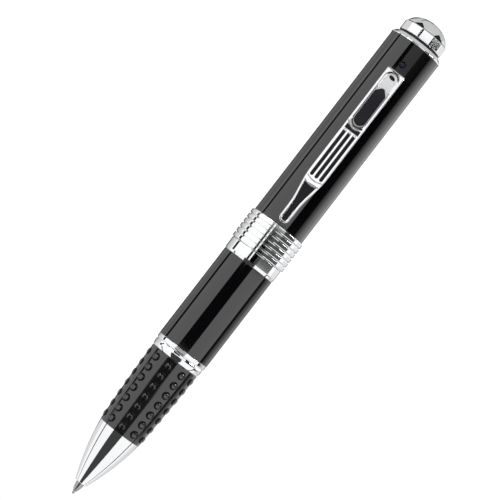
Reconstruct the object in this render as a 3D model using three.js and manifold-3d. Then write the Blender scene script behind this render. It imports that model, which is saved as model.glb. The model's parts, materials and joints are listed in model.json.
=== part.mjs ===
// A twist-action ballpoint pen with a camera in its upper half.
//
// The pen stands upright: +Z runs up its axis from the nib to the crown, and the pocket clip and the
// lens face -Y. Heights are counted from the nib's tip with the nib out, and the last lines move the
// pen down so that the origin is on its axis where a pocket's hem stops under the clip's root.
// All sizes are in millimetres.

import * as THREE from 'three';
import { mergeVertices } from 'three/addons/utils/BufferGeometryUtils.js';
import Module from 'manifold-3d';

const wasm = await Module();
wasm.setup();

// ---------------------------------------------------------------------------------------------
// Driving dimensions
// ---------------------------------------------------------------------------------------------

// Lengths along the pen, in order from nib to crown
const nibReach = 3.4;
const coneLength = 15.8;
const gripLength = 22.6;
const beadLength = 2.3;
const beadStepLength = 1.1;
const lowerBarrelLength = 26.6;
const bandLength = 3.4;
const collarLength = 8.7;
const upperBarrelLength = 56.2;
const flangeLength = 1.2;
const crownGap = 0.6;
const crownBodyLength = 2.8;
const crownDomeLength = 3.25;

// Outer radii, and how far each chrome piece stands in from the barrel or proud of it
const coneMouthRadius = 1.7;
const coneRadius = 5.85;
const coneBulge = 0.51;
const gripFrontRadius = 5.9;
const gripBackRadius = 6.85;
const gripBulge = 0.12;
const barrelRadius = 7.3;
const beadStepInset = 0.05;
const bandProud = 0.15;
const collarProud = 0.5;
const collarGrooveDepth = 0.4;
const flangeTaper = 0.65;
const crownInset = 0.95;

// Walls and clearances
const barrelWall = 0.55;
const upperWall = 0.6;
const cupWall = 0.33;
const spigotWall = 0.3;
const slideGap = 0.12;
const turnGap = 0.15;
const pressGap = 0.03;
const faceGap = 0.1;

// Centre collar
const collarLands = 6;
const collarGrooveWidth = 0.4;

// Grip
const bumpRows = 10;
const bumpsPerRow = 7;
const bumpPitch = 3.1;
const bumpRadius = 1.1;
const bumpHeight = 0.3;
const firstRowAngle = -4;
const gripCoreRadius = 5.2;
const gripCoreWall = 0.6;

// Refill
const nibRadius = 1.15;
const nibLength = 8.25;
const ballRadius = 0.35;
const refillTubeRadius = 1.5;
const refillTubeLength = 35.5;
const tailLength = 13.9;
const tailHeadLength = 6.9;
const tailNeckRadius = 1.4;
const tailHeadRadius = 2.7;

// Twist mechanism
const twistStroke = 4.4;
const followerRadius = 3.4;
const followerCapLength = 2.0;
const followerGripLength = 4.4;
const coreTubeWall = 0.8;
const coreTubeGap = 0.2;
const camWall = 1.0;
const pinRadius = 0.5;
const pinSlotGap = 0.15;

// Card and socket, both of standard size
const cardWidth = 11;
const cardLength = 15;
const cardThickness = 0.8;
const socketWidth = 7.5;
const socketHeight = 2.6;
const socketDepth = 5.8;
const socketWall = 0.3;
const boardThickness = 0.8;

// Spigot that the lower half plugs on to
const spigotLength = 14.5;
const spigotRootLength = 5.5;
const endCapThickness = 1.0;

// Camera and power
const lensHeight = 50.2;
const lensHoleRadius = 0.97;
const moduleSize = 5.2;
const moduleDepth = 3.0;
const batteryRadius = 4.3;
const batteryLength = 30;
const batteryWall = 0.6;
const leadRadius = 0.35;

// Clip
const clipTopHeight = 47.5;
const clipLength = 46.6;
const clipWidth = 5.1;
const clipTailWidth = 2.8;
const clipThickness = 1.2;
const clipStandoff = 2.1;
const clipRail = 0.65;
const slotLength = 16.5;
const slotEndBar = 0.6;
const flutes = 3;
const flutePitch = 1.42;
const fluteRadius = 0.62;
const fluteDepth = 0.45;
const fluteLength = 14.4;
const fluteSetback = 1.55;
const crossBarLength = 1.85;
const crossBarBulge = 0.5;
const taperLead = 1.15;
const taperLength = 10;
const tongueWidth = 3.2;
const tongueThickness = 1.15;
const tongueSideGap = 0.25;
const padFrontRoom = 0.7;
const padBackRoom = 0.2;
const padThickness = 0.9;
const shutterTravel = 4.5;
const mountLength = 6.4;

// Button
const buttonTravel = 0.5;
const stemRadius = 1.6;
const plungerRadius = 0.75;
const switchSize = 3.5;
const springWire = 0.25;

// Facets round a turned piece
const coarse = 16;
const medium = 20;
const fine = 32;

// ---------------------------------------------------------------------------------------------
// Heights above the nib's tip, and radii that follow from the fits
// ---------------------------------------------------------------------------------------------

const coneFront = nibReach;
const gripFront = coneFront + coneLength;
const ringFront = gripFront + gripLength;
const barrelFront = ringFront + beadLength + beadStepLength;
const bandFront = barrelFront + lowerBarrelLength;
const parting = bandFront + bandLength;
const collarFront = parting + faceGap;
const upperFront = collarFront + collarLength;
const flangeFront = upperFront + upperBarrelLength;
const flangeBack = flangeFront + flangeLength;
const crownFront = flangeBack + crownGap;
const domeFront = crownFront + crownBodyLength;

const beadStepRadius = barrelRadius - beadStepInset;
const bandRadius = barrelRadius + bandProud;
const collarRadius = barrelRadius + collarProud;
const collarGrooveRadius = collarRadius - collarGrooveDepth;
const flangeTopRadius = barrelRadius - flangeTaper;
const crownRadius = barrelRadius - crownInset;

const lowerBore = barrelRadius - barrelWall;
const upperBore = barrelRadius - upperWall;
const cupRadius = lowerBore - turnGap;
const cupBore = cupRadius - cupWall;
const spigotRadius = cupBore - slideGap;
const spigotBore = spigotRadius - spigotWall;
const spigotFront = upperFront - spigotLength;

const lensLevel = upperFront + lensHeight;
const clipTop = upperFront + clipTopHeight;
const clipTail = clipTop - clipLength;
const clipInner = barrelRadius + clipStandoff;
const clipOuter = clipInner + clipThickness;
const mountFront = clipTop - clipRail - slotEndBar - mountLength;

// ---------------------------------------------------------------------------------------------
// Geometry helpers
// ---------------------------------------------------------------------------------------------

// Joins equal corners, drops collapsed triangles and turns every face outwards.
function weld(geometry) {
  const bare = geometry.clone();
  bare.deleteAttribute('normal');
  bare.deleteAttribute('uv');
  const merged = mergeVertices(bare, 1e-4);
  const corners = merged.index.array;
  const kept = [];
  for (let i = 0; i < corners.length; i += 3) {
    const [a, b, c] = corners.slice(i, i + 3);
    if (a !== b && b !== c && c !== a) kept.push(a, b, c);
  }
  if (signedVolume(merged.attributes.position, kept) < 0) kept.reverse();
  merged.setIndex(kept);
  return merged;
}

function signedVolume(position, corners) {
  const [a, b, c] = [new THREE.Vector3(), new THREE.Vector3(), new THREE.Vector3()];
  let volume = 0;
  for (let i = 0; i < corners.length; i += 3) {
    a.fromBufferAttribute(position, corners[i]);
    b.fromBufferAttribute(position, corners[i + 1]);
    c.fromBufferAttribute(position, corners[i + 2]);
    volume += a.dot(b.cross(c)) / 6;
  }
  return volume;
}

function toSolid(geometry) {
  const welded = weld(geometry);
  const mesh = new wasm.Mesh({
    numProp: 3,
    vertProperties: new Float32Array(welded.attributes.position.array),
    triVerts: new Uint32Array(welded.index.array),
  });
  return new wasm.Manifold(mesh);
}

function toGeometry(solid) {
  const mesh = solid.getMesh();
  const geometry = new THREE.BufferGeometry();
  geometry.setAttribute('position', new THREE.BufferAttribute(mesh.vertProperties, 3));
  geometry.setIndex([...mesh.triVerts]);
  return geometry;
}

// The base with all the cutters taken away.
function cut(base, ...cutters) {
  let solid = toSolid(base);
  for (const cutter of cutters) solid = solid.subtract(toSolid(cutter));
  return toGeometry(solid);
}

// The base with all the pieces joined to it.
function join(base, ...pieces) {
  let solid = toSolid(base);
  for (const piece of pieces) solid = solid.add(toSolid(piece));
  return toGeometry(solid);
}

// A turned piece about the pen's axis. The profile is a list of [radius, height].
function turned(profile, segments = fine) {
  const points = profile.map(([radius, height]) => new THREE.Vector2(radius, height));
  return new THREE.LatheGeometry(points, segments).rotateX(Math.PI / 2);
}

function rod(radius, low, high, segments = medium) {
  return turned([[0, low], [radius, low], [radius, high], [0, high]], segments);
}

function ring(inner, outer, low, high, segments = fine) {
  return turned([[inner, low], [outer, low], [outer, high], [inner, high], [inner, low]], segments);
}

// A piece turned about the line that leaves the pen's axis towards -Y at one height. Heights in its
// profile become distances from the pen's axis.
function facing(geometry, height) {
  return geometry.rotateX(Math.PI / 2).translate(0, 0, height);
}

function box(x, y, z) {
  const [width, depth, height] = [x[1] - x[0], y[1] - y[0], z[1] - z[0]];
  const geometry = new THREE.BoxGeometry(width, depth, height);
  return geometry.translate((x[0] + x[1]) / 2, (y[0] + y[1]) / 2, (z[0] + z[1]) / 2);
}

// A flat piece that faces -Y. The shape is drawn in X and height, and near and far are distances of
// its two faces from the pen's axis.
function plate(shape, near, far, curveSegments = 5) {
  const settings = { depth: far - near, bevelEnabled: false, curveSegments };
  return new THREE.ExtrudeGeometry(shape, settings).rotateX(Math.PI / 2).translate(0, -near, 0);
}

// A thin strip that is bent in the YZ plane. The route is a list of [y, z].
function ribbon(route, x, thickness) {
  const points = route.map(([y, z]) => new THREE.Vector2(y, z));
  const left = [];
  const right = [];
  points.forEach((point, i) => {
    const before = points[Math.max(i - 1, 0)];
    const after = points[Math.min(i + 1, points.length - 1)];
    const along = after.clone().sub(before).normalize();
    const side = new THREE.Vector2(-along.y, along.x).multiplyScalar(thickness / 2);
    left.push(point.clone().add(side));
    right.unshift(point.clone().sub(side));
  });
  const settings = { depth: x[1] - x[0], bevelEnabled: false };
  const strip = new THREE.ExtrudeGeometry(new THREE.Shape([...left, ...right]), settings);
  // shape x, y and depth become Y, Z and X
  const turn = new THREE.Matrix4().set(0, 0, 1, x[0], 1, 0, 0, 0, 0, 1, 0, 0, 0, 0, 0, 1);
  return strip.applyMatrix4(turn);
}

// Points on an arc between two profile points that stands bulge proud of the chord.
function bulged(from, to, bulge, steps) {
  const a = new THREE.Vector2(...from);
  const b = new THREE.Vector2(...to);
  const chord = b.clone().sub(a);
  const outward = new THREE.Vector2(chord.y, -chord.x).normalize();
  const points = [];
  for (let i = 0; i <= steps; i += 1) {
    const t = i / steps;
    const point = a.clone().addScaledVector(chord, t).addScaledVector(outward, 4 * bulge * t * (1 - t));
    points.push([point.x, point.y]);
  }
  return points;
}

class Helix extends THREE.Curve {
  constructor(radius, low, high, turns) {
    super();
    Object.assign(this, { radius, low, high, turns });
  }

  getPoint(t, target = new THREE.Vector3()) {
    const angle = 2 * Math.PI * this.turns * t;
    const height = this.low + (this.high - this.low) * t;
    return target.set(this.radius * Math.cos(angle), this.radius * Math.sin(angle), height);
  }
}

function circle(radius) {
  return new THREE.Shape().absarc(0, 0, radius, 0, 2 * Math.PI);
}

// ---------------------------------------------------------------------------------------------
// Refill
// ---------------------------------------------------------------------------------------------

const tubeFront = nibLength + ballRadius;
const tubeBack = tubeFront + refillTubeLength;
const tailBack = tubeBack + tailLength;

function refillBall() {
  return new THREE.SphereGeometry(ballRadius, 12, 8).rotateX(Math.PI / 2).translate(0, 0, ballRadius);
}

function refillNib() {
  const seat = 2 * ballRadius + faceGap / 2;
  const nose = bulged([ballRadius + 0.2, seat], [nibRadius, nibReach - 0.3], 0.12, 4);
  return turned([[0, seat], ...nose, [nibRadius, tubeFront], [0, tubeFront]], medium);
}

function refillTube() {
  return rod(refillTubeRadius, tubeFront, tubeBack, medium);
}

function refillTail() {
  const shoulder = tailBack - tailHeadLength;
  return turned([
    [0, tubeBack],
    [tailNeckRadius, tubeBack],
    [tailNeckRadius, shoulder - 1],
    [tailHeadRadius, shoulder],
    [tailHeadRadius, tailBack],
    [0, tailBack],
  ], medium);
}

// ---------------------------------------------------------------------------------------------
// Twist mechanism: the pin in the follower stands in a straight slot of the core and a helical slot
// of the cam, so turning the writing half lifts the refill
// ---------------------------------------------------------------------------------------------

const pinHeight = tailBack + followerCapLength / 2 + 0.2;
const followerTop = tailBack + faceGap + followerCapLength;
const coreBore = followerRadius + coreTubeGap;
const coreTubeRadius = coreBore + coreTubeWall;
const camBore = coreTubeRadius + coreTubeGap;
const camRadius = camBore + camWall;
const pinSlotHalf = pinRadius + pinSlotGap;
const cupFloorBottom = followerTop + twistStroke + 2.9 * coreTubeGap;
const cupFloorTop = cupFloorBottom + 1.0;
const camTop = cupFloorBottom - coreTubeGap;
const camFlangeBottom = tailBack - 6;
const camFlangeTop = camFlangeBottom + 2;
const retainerTop = camFlangeBottom - faceGap;
const retainerThickness = 0.7;
const coreTubeBottom = retainerTop - retainerThickness - 0.5;
const retainerGroove = coreTubeRadius - 0.45;

function camFollower() {
  const mouth = tailBack - followerGripLength;
  const grip = tailHeadRadius + slideGap;
  const body = turned([
    [grip, mouth],
    [followerRadius, mouth],
    [followerRadius, followerTop],
    [0, followerTop],
    [0, tailBack + faceGap],
    [grip, tailBack + faceGap],
    [grip, mouth],
  ], medium);
  const hole = rod(pinRadius + faceGap / 2, -followerRadius - 1, followerRadius + 1, coarse);
  return cut(body, hole.rotateY(Math.PI / 2).translate(0, 0, pinHeight));
}

function followerPin() {
  const half = camRadius - 0.3;
  return rod(pinRadius, -half, half, 12).rotateY(Math.PI / 2).translate(0, 0, pinHeight);
}

function twistCore() {
  const body = turned([
    [coreBore, coreTubeBottom],
    [coreTubeRadius, coreTubeBottom],
    [coreTubeRadius, retainerTop - retainerThickness],
    [retainerGroove, retainerTop - retainerThickness],
    [retainerGroove, retainerTop],
    [coreTubeRadius, retainerTop],
    [coreTubeRadius, cupFloorBottom],
    [cupRadius, cupFloorBottom],
    [cupRadius, parting],
    [cupBore, parting],
    [cupBore, cupFloorTop],
    [0, cupFloorTop],
    [0, cupFloorBottom],
    [coreBore, cupFloorBottom],
    [coreBore, coreTubeBottom],
  ]);
  const slot = box(
    [-coreTubeRadius - 1, coreTubeRadius + 1],
    [-pinSlotHalf, pinSlotHalf],
    [pinHeight - pinSlotHalf, pinHeight + twistStroke + pinSlotHalf],
  );
  return cut(body, slot);
}

function retainingRing() {
  const groove = retainerGroove + pressGap;
  const low = retainerTop - retainerThickness + pressGap;
  const body = ring(groove, camBore + 0.5, low, retainerTop - pressGap);
  const mouth = box([-0.8, 0.8], [0, camRadius + 1], [low - 1, retainerTop + 1]);
  return cut(body, mouth);
}

// The space that the pin sweeps through the cam's wall as the cam makes half a turn.
function camSlotCutter(startAngle) {
  const stations = 12;
  const overrun = Math.asin(pinSlotHalf / camBore) + 0.01;
  const [inner, outer] = [camBore - 0.5, camRadius + 0.5];
  const position = [];
  for (let i = 0; i <= stations; i += 1) {
    const turn = -overrun + (Math.PI + 2 * overrun) * (i / stations);
    const height = pinHeight + twistStroke * (turn / Math.PI);
    const angle = startAngle + turn;
    const [x, y] = [Math.cos(angle), Math.sin(angle)];
    position.push(x * inner, y * inner, height - pinSlotHalf);
    position.push(x * outer, y * outer, height - pinSlotHalf);
    position.push(x * outer, y * outer, height + pinSlotHalf);
    position.push(x * inner, y * inner, height + pinSlotHalf);
  }
  const index = [0, 1, 2, 0, 2, 3];
  for (let i = 0; i < stations; i += 1) {
    for (let side = 0; side < 4; side += 1) {
      const here = 4 * i + side;
      const beside = 4 * i + ((side + 1) % 4);
      index.push(here, here + 4, beside, beside, here + 4, beside + 4);
    }
  }
  const end = 4 * stations;
  index.push(end, end + 2, end + 1, end, end + 3, end + 2);
  const geometry = new THREE.BufferGeometry();
  geometry.setAttribute('position', new THREE.Float32BufferAttribute(position, 3));
  geometry.setIndex(index);
  return geometry;
}

function camSleeve() {
  const body = turned([
    [camBore, camFlangeBottom],
    [lowerBore - pressGap, camFlangeBottom],
    [lowerBore - pressGap, camFlangeTop],
    [camRadius, camFlangeTop],
    [camRadius, camTop],
    [camBore, camTop],
    [camBore, camFlangeBottom],
  ]);
  return cut(body, camSlotCutter(0), camSlotCutter(Math.PI));
}

// ---------------------------------------------------------------------------------------------
// Writing half: barrel, band, grip and nose
// ---------------------------------------------------------------------------------------------

const bandSleeveLength = 3;
const bandSleeveRadius = lowerBore + barrelWall * 0.4;
const threadLength = 4.1;
const threadRadius = lowerBore - turnGap;
const gripCoreBore = gripCoreRadius - gripCoreWall;
const coreStepRadius = gripCoreRadius + 0.3;
const noseSpigotLength = 6;

function lowerBarrel() {
  return turned([
    [lowerBore, barrelFront],
    [barrelRadius, barrelFront],
    [barrelRadius, bandFront],
    [bandSleeveRadius + pressGap, bandFront],
    [bandSleeveRadius + pressGap, bandFront - bandSleeveLength],
    [lowerBore, bandFront - bandSleeveLength],
    [lowerBore, barrelFront],
  ]);
}

function lowerBand() {
  const chamfer = bandRadius - barrelRadius;
  return turned([
    [lowerBore, bandFront - bandSleeveLength + pressGap],
    [bandSleeveRadius, bandFront - bandSleeveLength + pressGap],
    [bandSleeveRadius, bandFront],
    [barrelRadius, bandFront],
    [bandRadius, bandFront + 4 * chamfer],
    [bandRadius, parting],
    [lowerBore, parting],
    [lowerBore, bandFront - bandSleeveLength + pressGap],
  ]);
}

function lowerRing() {
  const beadBack = ringFront + beadLength;
  return turned([
    [coreStepRadius + pressGap, ringFront],
    ...bulged([gripBackRadius, ringFront], [gripBackRadius + 0.1, beadBack - 0.2], 0.15, 4),
    [beadStepRadius, beadBack],
    [beadStepRadius, barrelFront],
    [coreStepRadius + pressGap, barrelFront],
    [coreStepRadius + pressGap, ringFront],
  ]);
}

function gripCore() {
  const back = barrelFront + threadLength;
  return turned([
    [gripCoreBore, gripFront],
    [gripCoreRadius, gripFront],
    [gripCoreRadius, ringFront],
    [coreStepRadius, ringFront],
    [coreStepRadius, barrelFront],
    [threadRadius, barrelFront],
    [threadRadius, back],
    [gripCoreBore, back],
    [gripCoreBore, gripFront],
  ]);
}

function threadWasher() {
  const low = barrelFront + threadLength + pressGap;
  return ring(camBore + 0.7, threadRadius, low, low + 0.6);
}

const gripOutline = bulged([gripFrontRadius, gripFront], [gripBackRadius, ringFront], gripBulge, 6);

function gripRadiusAt(height) {
  const t = (height - gripFront) / gripLength;
  return gripFrontRadius + (gripBackRadius - gripFrontRadius) * t + 4 * gripBulge * t * (1 - t);
}

function gripSleeve() {
  const inner = gripCoreRadius + pressGap;
  const body = turned([[inner, gripFront], ...gripOutline, [inner, ringFront], [inner, gripFront]]);
  const bumps = [];
  const firstBump = gripFront + (gripLength - bumpPitch * (bumpsPerRow - 1)) / 2;
  for (let row = 0; row < bumpRows; row += 1) {
    for (let i = 0; i < bumpsPerRow; i += 1) {
      const height = firstBump + i * bumpPitch;
      const base = gripRadiusAt(height) - 0.25;
      const top = gripRadiusAt(height) + bumpHeight;
      const profile = [[0, base], [bumpRadius, base], [bumpRadius * 0.55, top], [0, top]];
      const bump = facing(turned(profile, 5), height);
      bumps.push(bump.rotateZ(THREE.MathUtils.degToRad(firstRowAngle + (360 * row) / bumpRows)));
    }
  }
  return join(body, ...bumps);
}

function noseCone() {
  const mouthBore = nibRadius + 0.2;
  const tubeBore = refillTubeRadius + 0.4;
  const mouthBoreEnd = tubeFront - 1.3;
  const spigot = gripCoreBore - pressGap;
  const spigotEnd = gripFront + noseSpigotLength;
  return turned([
    [mouthBore, coneFront],
    ...bulged([coneMouthRadius, coneFront], [coneRadius, gripFront], coneBulge, 7),
    [spigot, gripFront],
    [spigot, spigotEnd],
    [tailHeadRadius + 0.8, spigotEnd],
    [tubeBore, spigotEnd - 2],
    [tubeBore, mouthBoreEnd + 0.8],
    [mouthBore, mouthBoreEnd],
    [mouthBore, coneFront],
  ]);
}

// ---------------------------------------------------------------------------------------------
// Spigot with socket and card, inside the centre collar
// ---------------------------------------------------------------------------------------------

const ioBoardBack = -0.1;
const ioBoardFront = ioBoardBack - boardThickness;
const ioBoardLow = spigotFront + endCapThickness + 0.6;
const ioBoardHigh = upperFront + 7;
const ioBoardHalf = cardWidth / 2 - 0.1;
const cardLow = spigotFront - 0.6;
const cardHigh = cardLow + cardLength;
const cardNear = 0.15;
const cardFar = cardNear + cardThickness;
const socketNear = ioBoardFront - 0.05;
const socketFar = socketNear - socketHeight;
const socketLow = spigotFront + 0.3;
const socketHigh = socketLow + socketDepth;

function centreCollar() {
  const pitch = collarLength / collarLands;
  const land = pitch - collarGrooveWidth;
  const outline = [];
  for (let i = 0; i < collarLands; i += 1) {
    const low = collarFront + i * pitch;
    outline.push([collarRadius, low + collarGrooveWidth / 2]);
    outline.push([collarRadius, low + collarGrooveWidth / 2 + land]);
    if (i < collarLands - 1) {
      outline.push([collarGrooveRadius, low + collarGrooveWidth / 2 + land]);
      outline.push([collarGrooveRadius, low + collarGrooveWidth / 2 + pitch]);
    }
  }
  const inner = spigotRadius + pressGap;
  return turned([
    [inner, collarFront],
    [collarGrooveRadius, collarFront],
    [collarGrooveRadius, collarFront + collarGrooveWidth / 2],
    ...outline,
    [collarGrooveRadius, upperFront - collarGrooveWidth / 2],
    [collarGrooveRadius, upperFront],
    [inner, upperFront],
    [inner, collarFront],
  ]);
}

function spigot() {
  const root = upperBore - pressGap;
  return turned([
    [spigotBore, spigotFront],
    [spigotRadius, spigotFront],
    [spigotRadius, upperFront],
    [root, upperFront],
    [root, upperFront + spigotRootLength],
    [spigotBore, upperFront + spigotRootLength],
    [spigotBore, spigotFront],
  ]);
}

function endCap() {
  const disc = rod(spigotBore - pressGap, spigotFront, spigotFront + endCapThickness, fine);
  const through = [spigotFront - 1, spigotFront + endCapThickness + 1];
  const half = socketWidth / 2 + 0.1;
  const socketHole = box([-half, half], [socketFar - 0.1, socketNear + 0.1], through);
  const cardHalf = cardWidth / 2 + 0.05;
  const cardHole = box([-cardHalf, cardHalf], [cardNear - 0.1, cardFar + 0.1], through);
  return cut(disc, socketHole, cardHole);
}

function ioBoard() {
  return box([-ioBoardHalf, ioBoardHalf], [ioBoardFront, ioBoardBack], [ioBoardLow, ioBoardHigh]);
}

function usbShell() {
  const half = socketWidth / 2;
  const shell = box([-half, half], [socketFar, socketNear], [socketLow, socketHigh]);
  const cavity = box(
    [-half + socketWall, half - socketWall],
    [socketFar + socketWall, socketNear - socketWall],
    [socketLow - 1, socketHigh - socketWall],
  );
  return cut(shell, cavity);
}

function usbTongue() {
  const middle = (socketFar + socketNear) / 2 + 0.15;
  return box([-2.4, 2.4], [middle - 0.3, middle + 0.3], [socketLow + 0.8, socketHigh - socketWall]);
}

function memoryCard() {
  const half = cardWidth / 2;
  const notch = 0.7;
  const outline = new THREE.Shape([
    new THREE.Vector2(-half, cardLow),
    new THREE.Vector2(half, cardLow),
    new THREE.Vector2(half, cardHigh - 6),
    new THREE.Vector2(half - notch, cardHigh - 5),
    new THREE.Vector2(half - notch, cardHigh),
    new THREE.Vector2(-half, cardHigh),
  ]);
  return plate(outline, -cardFar, -cardNear);
}

function cardSlot() {
  const half = cardWidth / 2 - 0.2;
  const [coverNear, coverFar] = [cardFar + 0.2, cardFar + 0.45];
  const stop = cardHigh + 0.6;
  const cover = box([-half, half], [coverNear, coverFar], [spigotFront + 3, stop + 0.6]);
  const wall = box([-half, half], [ioBoardBack, coverFar], [stop, stop + 0.6]);
  return join(cover, wall);
}

// ---------------------------------------------------------------------------------------------
// Electronics in the upper barrel
// ---------------------------------------------------------------------------------------------

const chassisRadius = upperBore - 0.1;
const batteryBore = batteryRadius + 0.1;
const batteryCentre = chassisRadius - batteryWall - batteryBore;
const batteryLow = upperFront + 10.8;
const batteryHigh = batteryLow + batteryLength;
const chassisLow = batteryLow - 1.2;
const chassisHigh = batteryHigh + 1.7;
const mainBoardBack = -3.6;
const mainBoardFront = mainBoardBack - boardThickness;
const mainBoardLow = ioBoardHigh + 1.5;
const mainBoardHigh = lensLevel - moduleSize / 2 - 1.4;
const mainBoardHalf = 4.6;
const moduleNear = 2.3;
const moduleFar = moduleNear + moduleDepth;
const lensBarrelBore = 0.5;
const lensBarrelRadius = 1.6;
const lensBarrelFar = upperBore - 0.3;
const bezelWall = 0.24;
const lensDomeRise = 0.22;
const lipProud = 0.08;
const switchBoardLow = lensLevel + moduleSize / 2 + 0.3;
const switchBoardHigh = switchBoardLow + 0.6;
const switchTop = switchBoardHigh + 1.4;

function upperBarrel() {
  const tube = ring(upperBore, barrelRadius, upperFront, flangeFront);
  const drill = (radius, height) => facing(rod(radius, upperBore - 2, barrelRadius + 2, coarse), height);
  const rivetHoles = rivetHeights.map((height) => drill(rivetRadius + 0.05, height));
  return cut(tube, drill(lensHoleRadius, lensLevel), ...rivetHoles);
}

function chassis() {
  const flatFront = mainBoardBack + 0.1;
  const start = Math.asin(flatFront / chassisRadius);
  const section = new THREE.Shape().absarc(0, 0, chassisRadius, start, Math.PI - start, false);
  const settings = { depth: chassisHigh - chassisLow, bevelEnabled: false, curveSegments: 24 };
  const block = new THREE.ExtrudeGeometry(section, settings).translate(0, 0, chassisLow);
  const bore = rod(batteryBore, batteryLow - 0.2, chassisHigh + 1, fine);
  return cut(block, bore.translate(0, batteryCentre, 0));
}

function batteryCell() {
  const cap = batteryRadius * 0.35;
  return turned([
    [0, batteryLow],
    [batteryRadius, batteryLow],
    [batteryRadius, batteryHigh],
    [cap, batteryHigh],
    [cap, batteryHigh + 0.5],
    [0, batteryHigh + 0.5],
  ], fine).translate(0, batteryCentre, 0);
}

function batteryLead(x) {
  const path = new THREE.CatmullRomCurve3([
    new THREE.Vector3(x, batteryCentre + 0.8, batteryHigh + 0.1),
    new THREE.Vector3(x, batteryCentre + 0.6, batteryHigh + 1.6),
    new THREE.Vector3(x, batteryCentre - 1.2, batteryHigh + 2.6),
    new THREE.Vector3(x, mainBoardBack + 2.2, batteryHigh + 2.9),
    new THREE.Vector3(x, mainBoardBack + 0.1, batteryHigh + 2.9),
  ]);
  const settings = { steps: 10, extrudePath: path, curveSegments: 3 };
  return new THREE.ExtrudeGeometry(circle(leadRadius), settings);
}

function mainBoard() {
  const along = [mainBoardLow, mainBoardHigh];
  return box([-mainBoardHalf, mainBoardHalf], [mainBoardFront, mainBoardBack], along);
}

// A chip on the front of the main board, placed by its height above the board's lower edge.
function chip(width, length, thickness, above, x = 0) {
  const low = mainBoardLow + above;
  const across = [x - width / 2, x + width / 2];
  return box(across, [mainBoardFront - thickness, mainBoardFront], [low, low + length]);
}

function boardRibbon() {
  return ribbon([
    [ioBoardFront - 0.1, ioBoardHigh - 2.5],
    [ioBoardFront - 0.1, ioBoardHigh - 1],
    [ioBoardFront - 0.6, ioBoardHigh + 0.2],
    [mainBoardBack + 0.7, mainBoardLow - 0.4],
    [mainBoardBack + 0.1, mainBoardLow + 0.2],
    [mainBoardBack + 0.1, mainBoardLow + 0.8],
  ], [-2.5, 2.5], 0.16);
}

function cameraModule() {
  const half = moduleSize / 2;
  return box([-half, half], [-moduleFar, -moduleNear], [lensLevel - half, lensLevel + half]);
}

function lensBarrel() {
  const near = moduleFar + 0.05;
  const far = upperBore - 0.05;
  const noseRadius = lensHoleRadius - 0.1;
  return facing(turned([
    [lensBarrelBore, near],
    [lensBarrelRadius, near],
    [lensBarrelRadius, lensBarrelFar],
    [noseRadius, lensBarrelFar],
    [noseRadius, far],
    [lensBarrelBore, far],
    [lensBarrelBore, near],
  ], coarse), lensLevel);
}

function lensBezel() {
  const outer = lensHoleRadius - 0.05;
  const [near, far] = [upperBore + 0.05, barrelRadius + lipProud];
  return facing(ring(outer - bezelWall, outer, near, far, coarse), lensLevel);
}

function frontLens() {
  const radius = lensHoleRadius - bezelWall - 0.08;
  const near = upperBore + 0.15;
  const edge = near + 0.15;
  const dome = [1, 2, 3].map((i) => {
    const angle = (i / 4) * (Math.PI / 2);
    return [radius * Math.cos(angle), edge + lensDomeRise * Math.sin(angle)];
  });
  const profile = [[0, near], [radius, near], [radius, edge], ...dome, [0, edge + lensDomeRise]];
  return facing(turned(profile, coarse), lensLevel);
}

function sensorRibbon() {
  const back = -moduleNear + 0.12;
  return ribbon([
    [back, lensLevel + 1.5],
    [back, lensLevel - moduleSize / 2 - 0.2],
    [mainBoardBack + 0.5, mainBoardHigh + 0.1],
    [mainBoardBack + 0.12, mainBoardHigh - 1],
    [mainBoardBack + 0.12, mainBoardHigh - 1.6],
  ], [-1.6, 1.6], 0.16);
}

function switchBoard() {
  return rod(upperBore - 0.3, switchBoardLow, switchBoardHigh, fine);
}

function switchRibbon() {
  const x = moduleSize / 2 + 0.9;
  const y = mainBoardBack - boardThickness / 2;
  return box([x, x + 0.2], [y - 0.3, y + 1.7], [mainBoardHigh + 0.05, switchBoardLow - 0.05]);
}

function tactSwitch() {
  const half = switchSize / 2;
  const body = box([-half, half], [-half, half], [switchBoardHigh, switchTop]);
  const hole = rod(plungerRadius + 0.1, switchBoardHigh + 0.45, switchTop + 1, coarse);
  return cut(body, hole);
}

function statusLight() {
  return box([3.6, 4.8], [-0.4, 0.4], [switchBoardHigh, switchBoardHigh + 0.6]);
}

function microphone() {
  return box([-5.0, -3.4], [-1.2, 1.2], [switchBoardHigh, switchBoardHigh + 0.8]);
}

// ---------------------------------------------------------------------------------------------
// Crown and button
// ---------------------------------------------------------------------------------------------

const neckRadius = crownRadius - 0.35;
const recessFloor = flangeBack - buttonTravel - turnGap;
const flangeBore = switchSize / Math.SQRT2 + 3 * springWire;
const neckBottom = flangeBack - faceGap;
const stemBottom = neckBottom - 0.45;
const crownSides = 12;

function crownFlange() {
  const spigotOuter = upperBore - pressGap;
  const spigotInner = spigotOuter - 0.7;
  const lipRadius = barrelRadius + lipProud;
  return turned([
    [flangeBore, flangeFront],
    [spigotInner, flangeFront],
    [spigotInner, switchBoardHigh + 0.1],
    [spigotOuter, switchBoardHigh + 0.1],
    [spigotOuter, flangeFront],
    [lipRadius, flangeFront],
    [lipRadius, flangeFront + 0.3],
    [flangeTopRadius, flangeBack],
    [neckRadius + turnGap, flangeBack],
    [neckRadius + turnGap, recessFloor],
    [flangeBore, recessFloor],
    [flangeBore, flangeFront],
  ]);
}

function buttonStem() {
  return turned([
    [0, stemBottom],
    [stemRadius, stemBottom],
    [stemRadius, neckBottom],
    [neckRadius, neckBottom],
    [neckRadius, crownFront],
    [0, crownFront],
  ]);
}

function switchPlunger() {
  return rod(plungerRadius, switchTop - 0.4, stemBottom, coarse);
}

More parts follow.
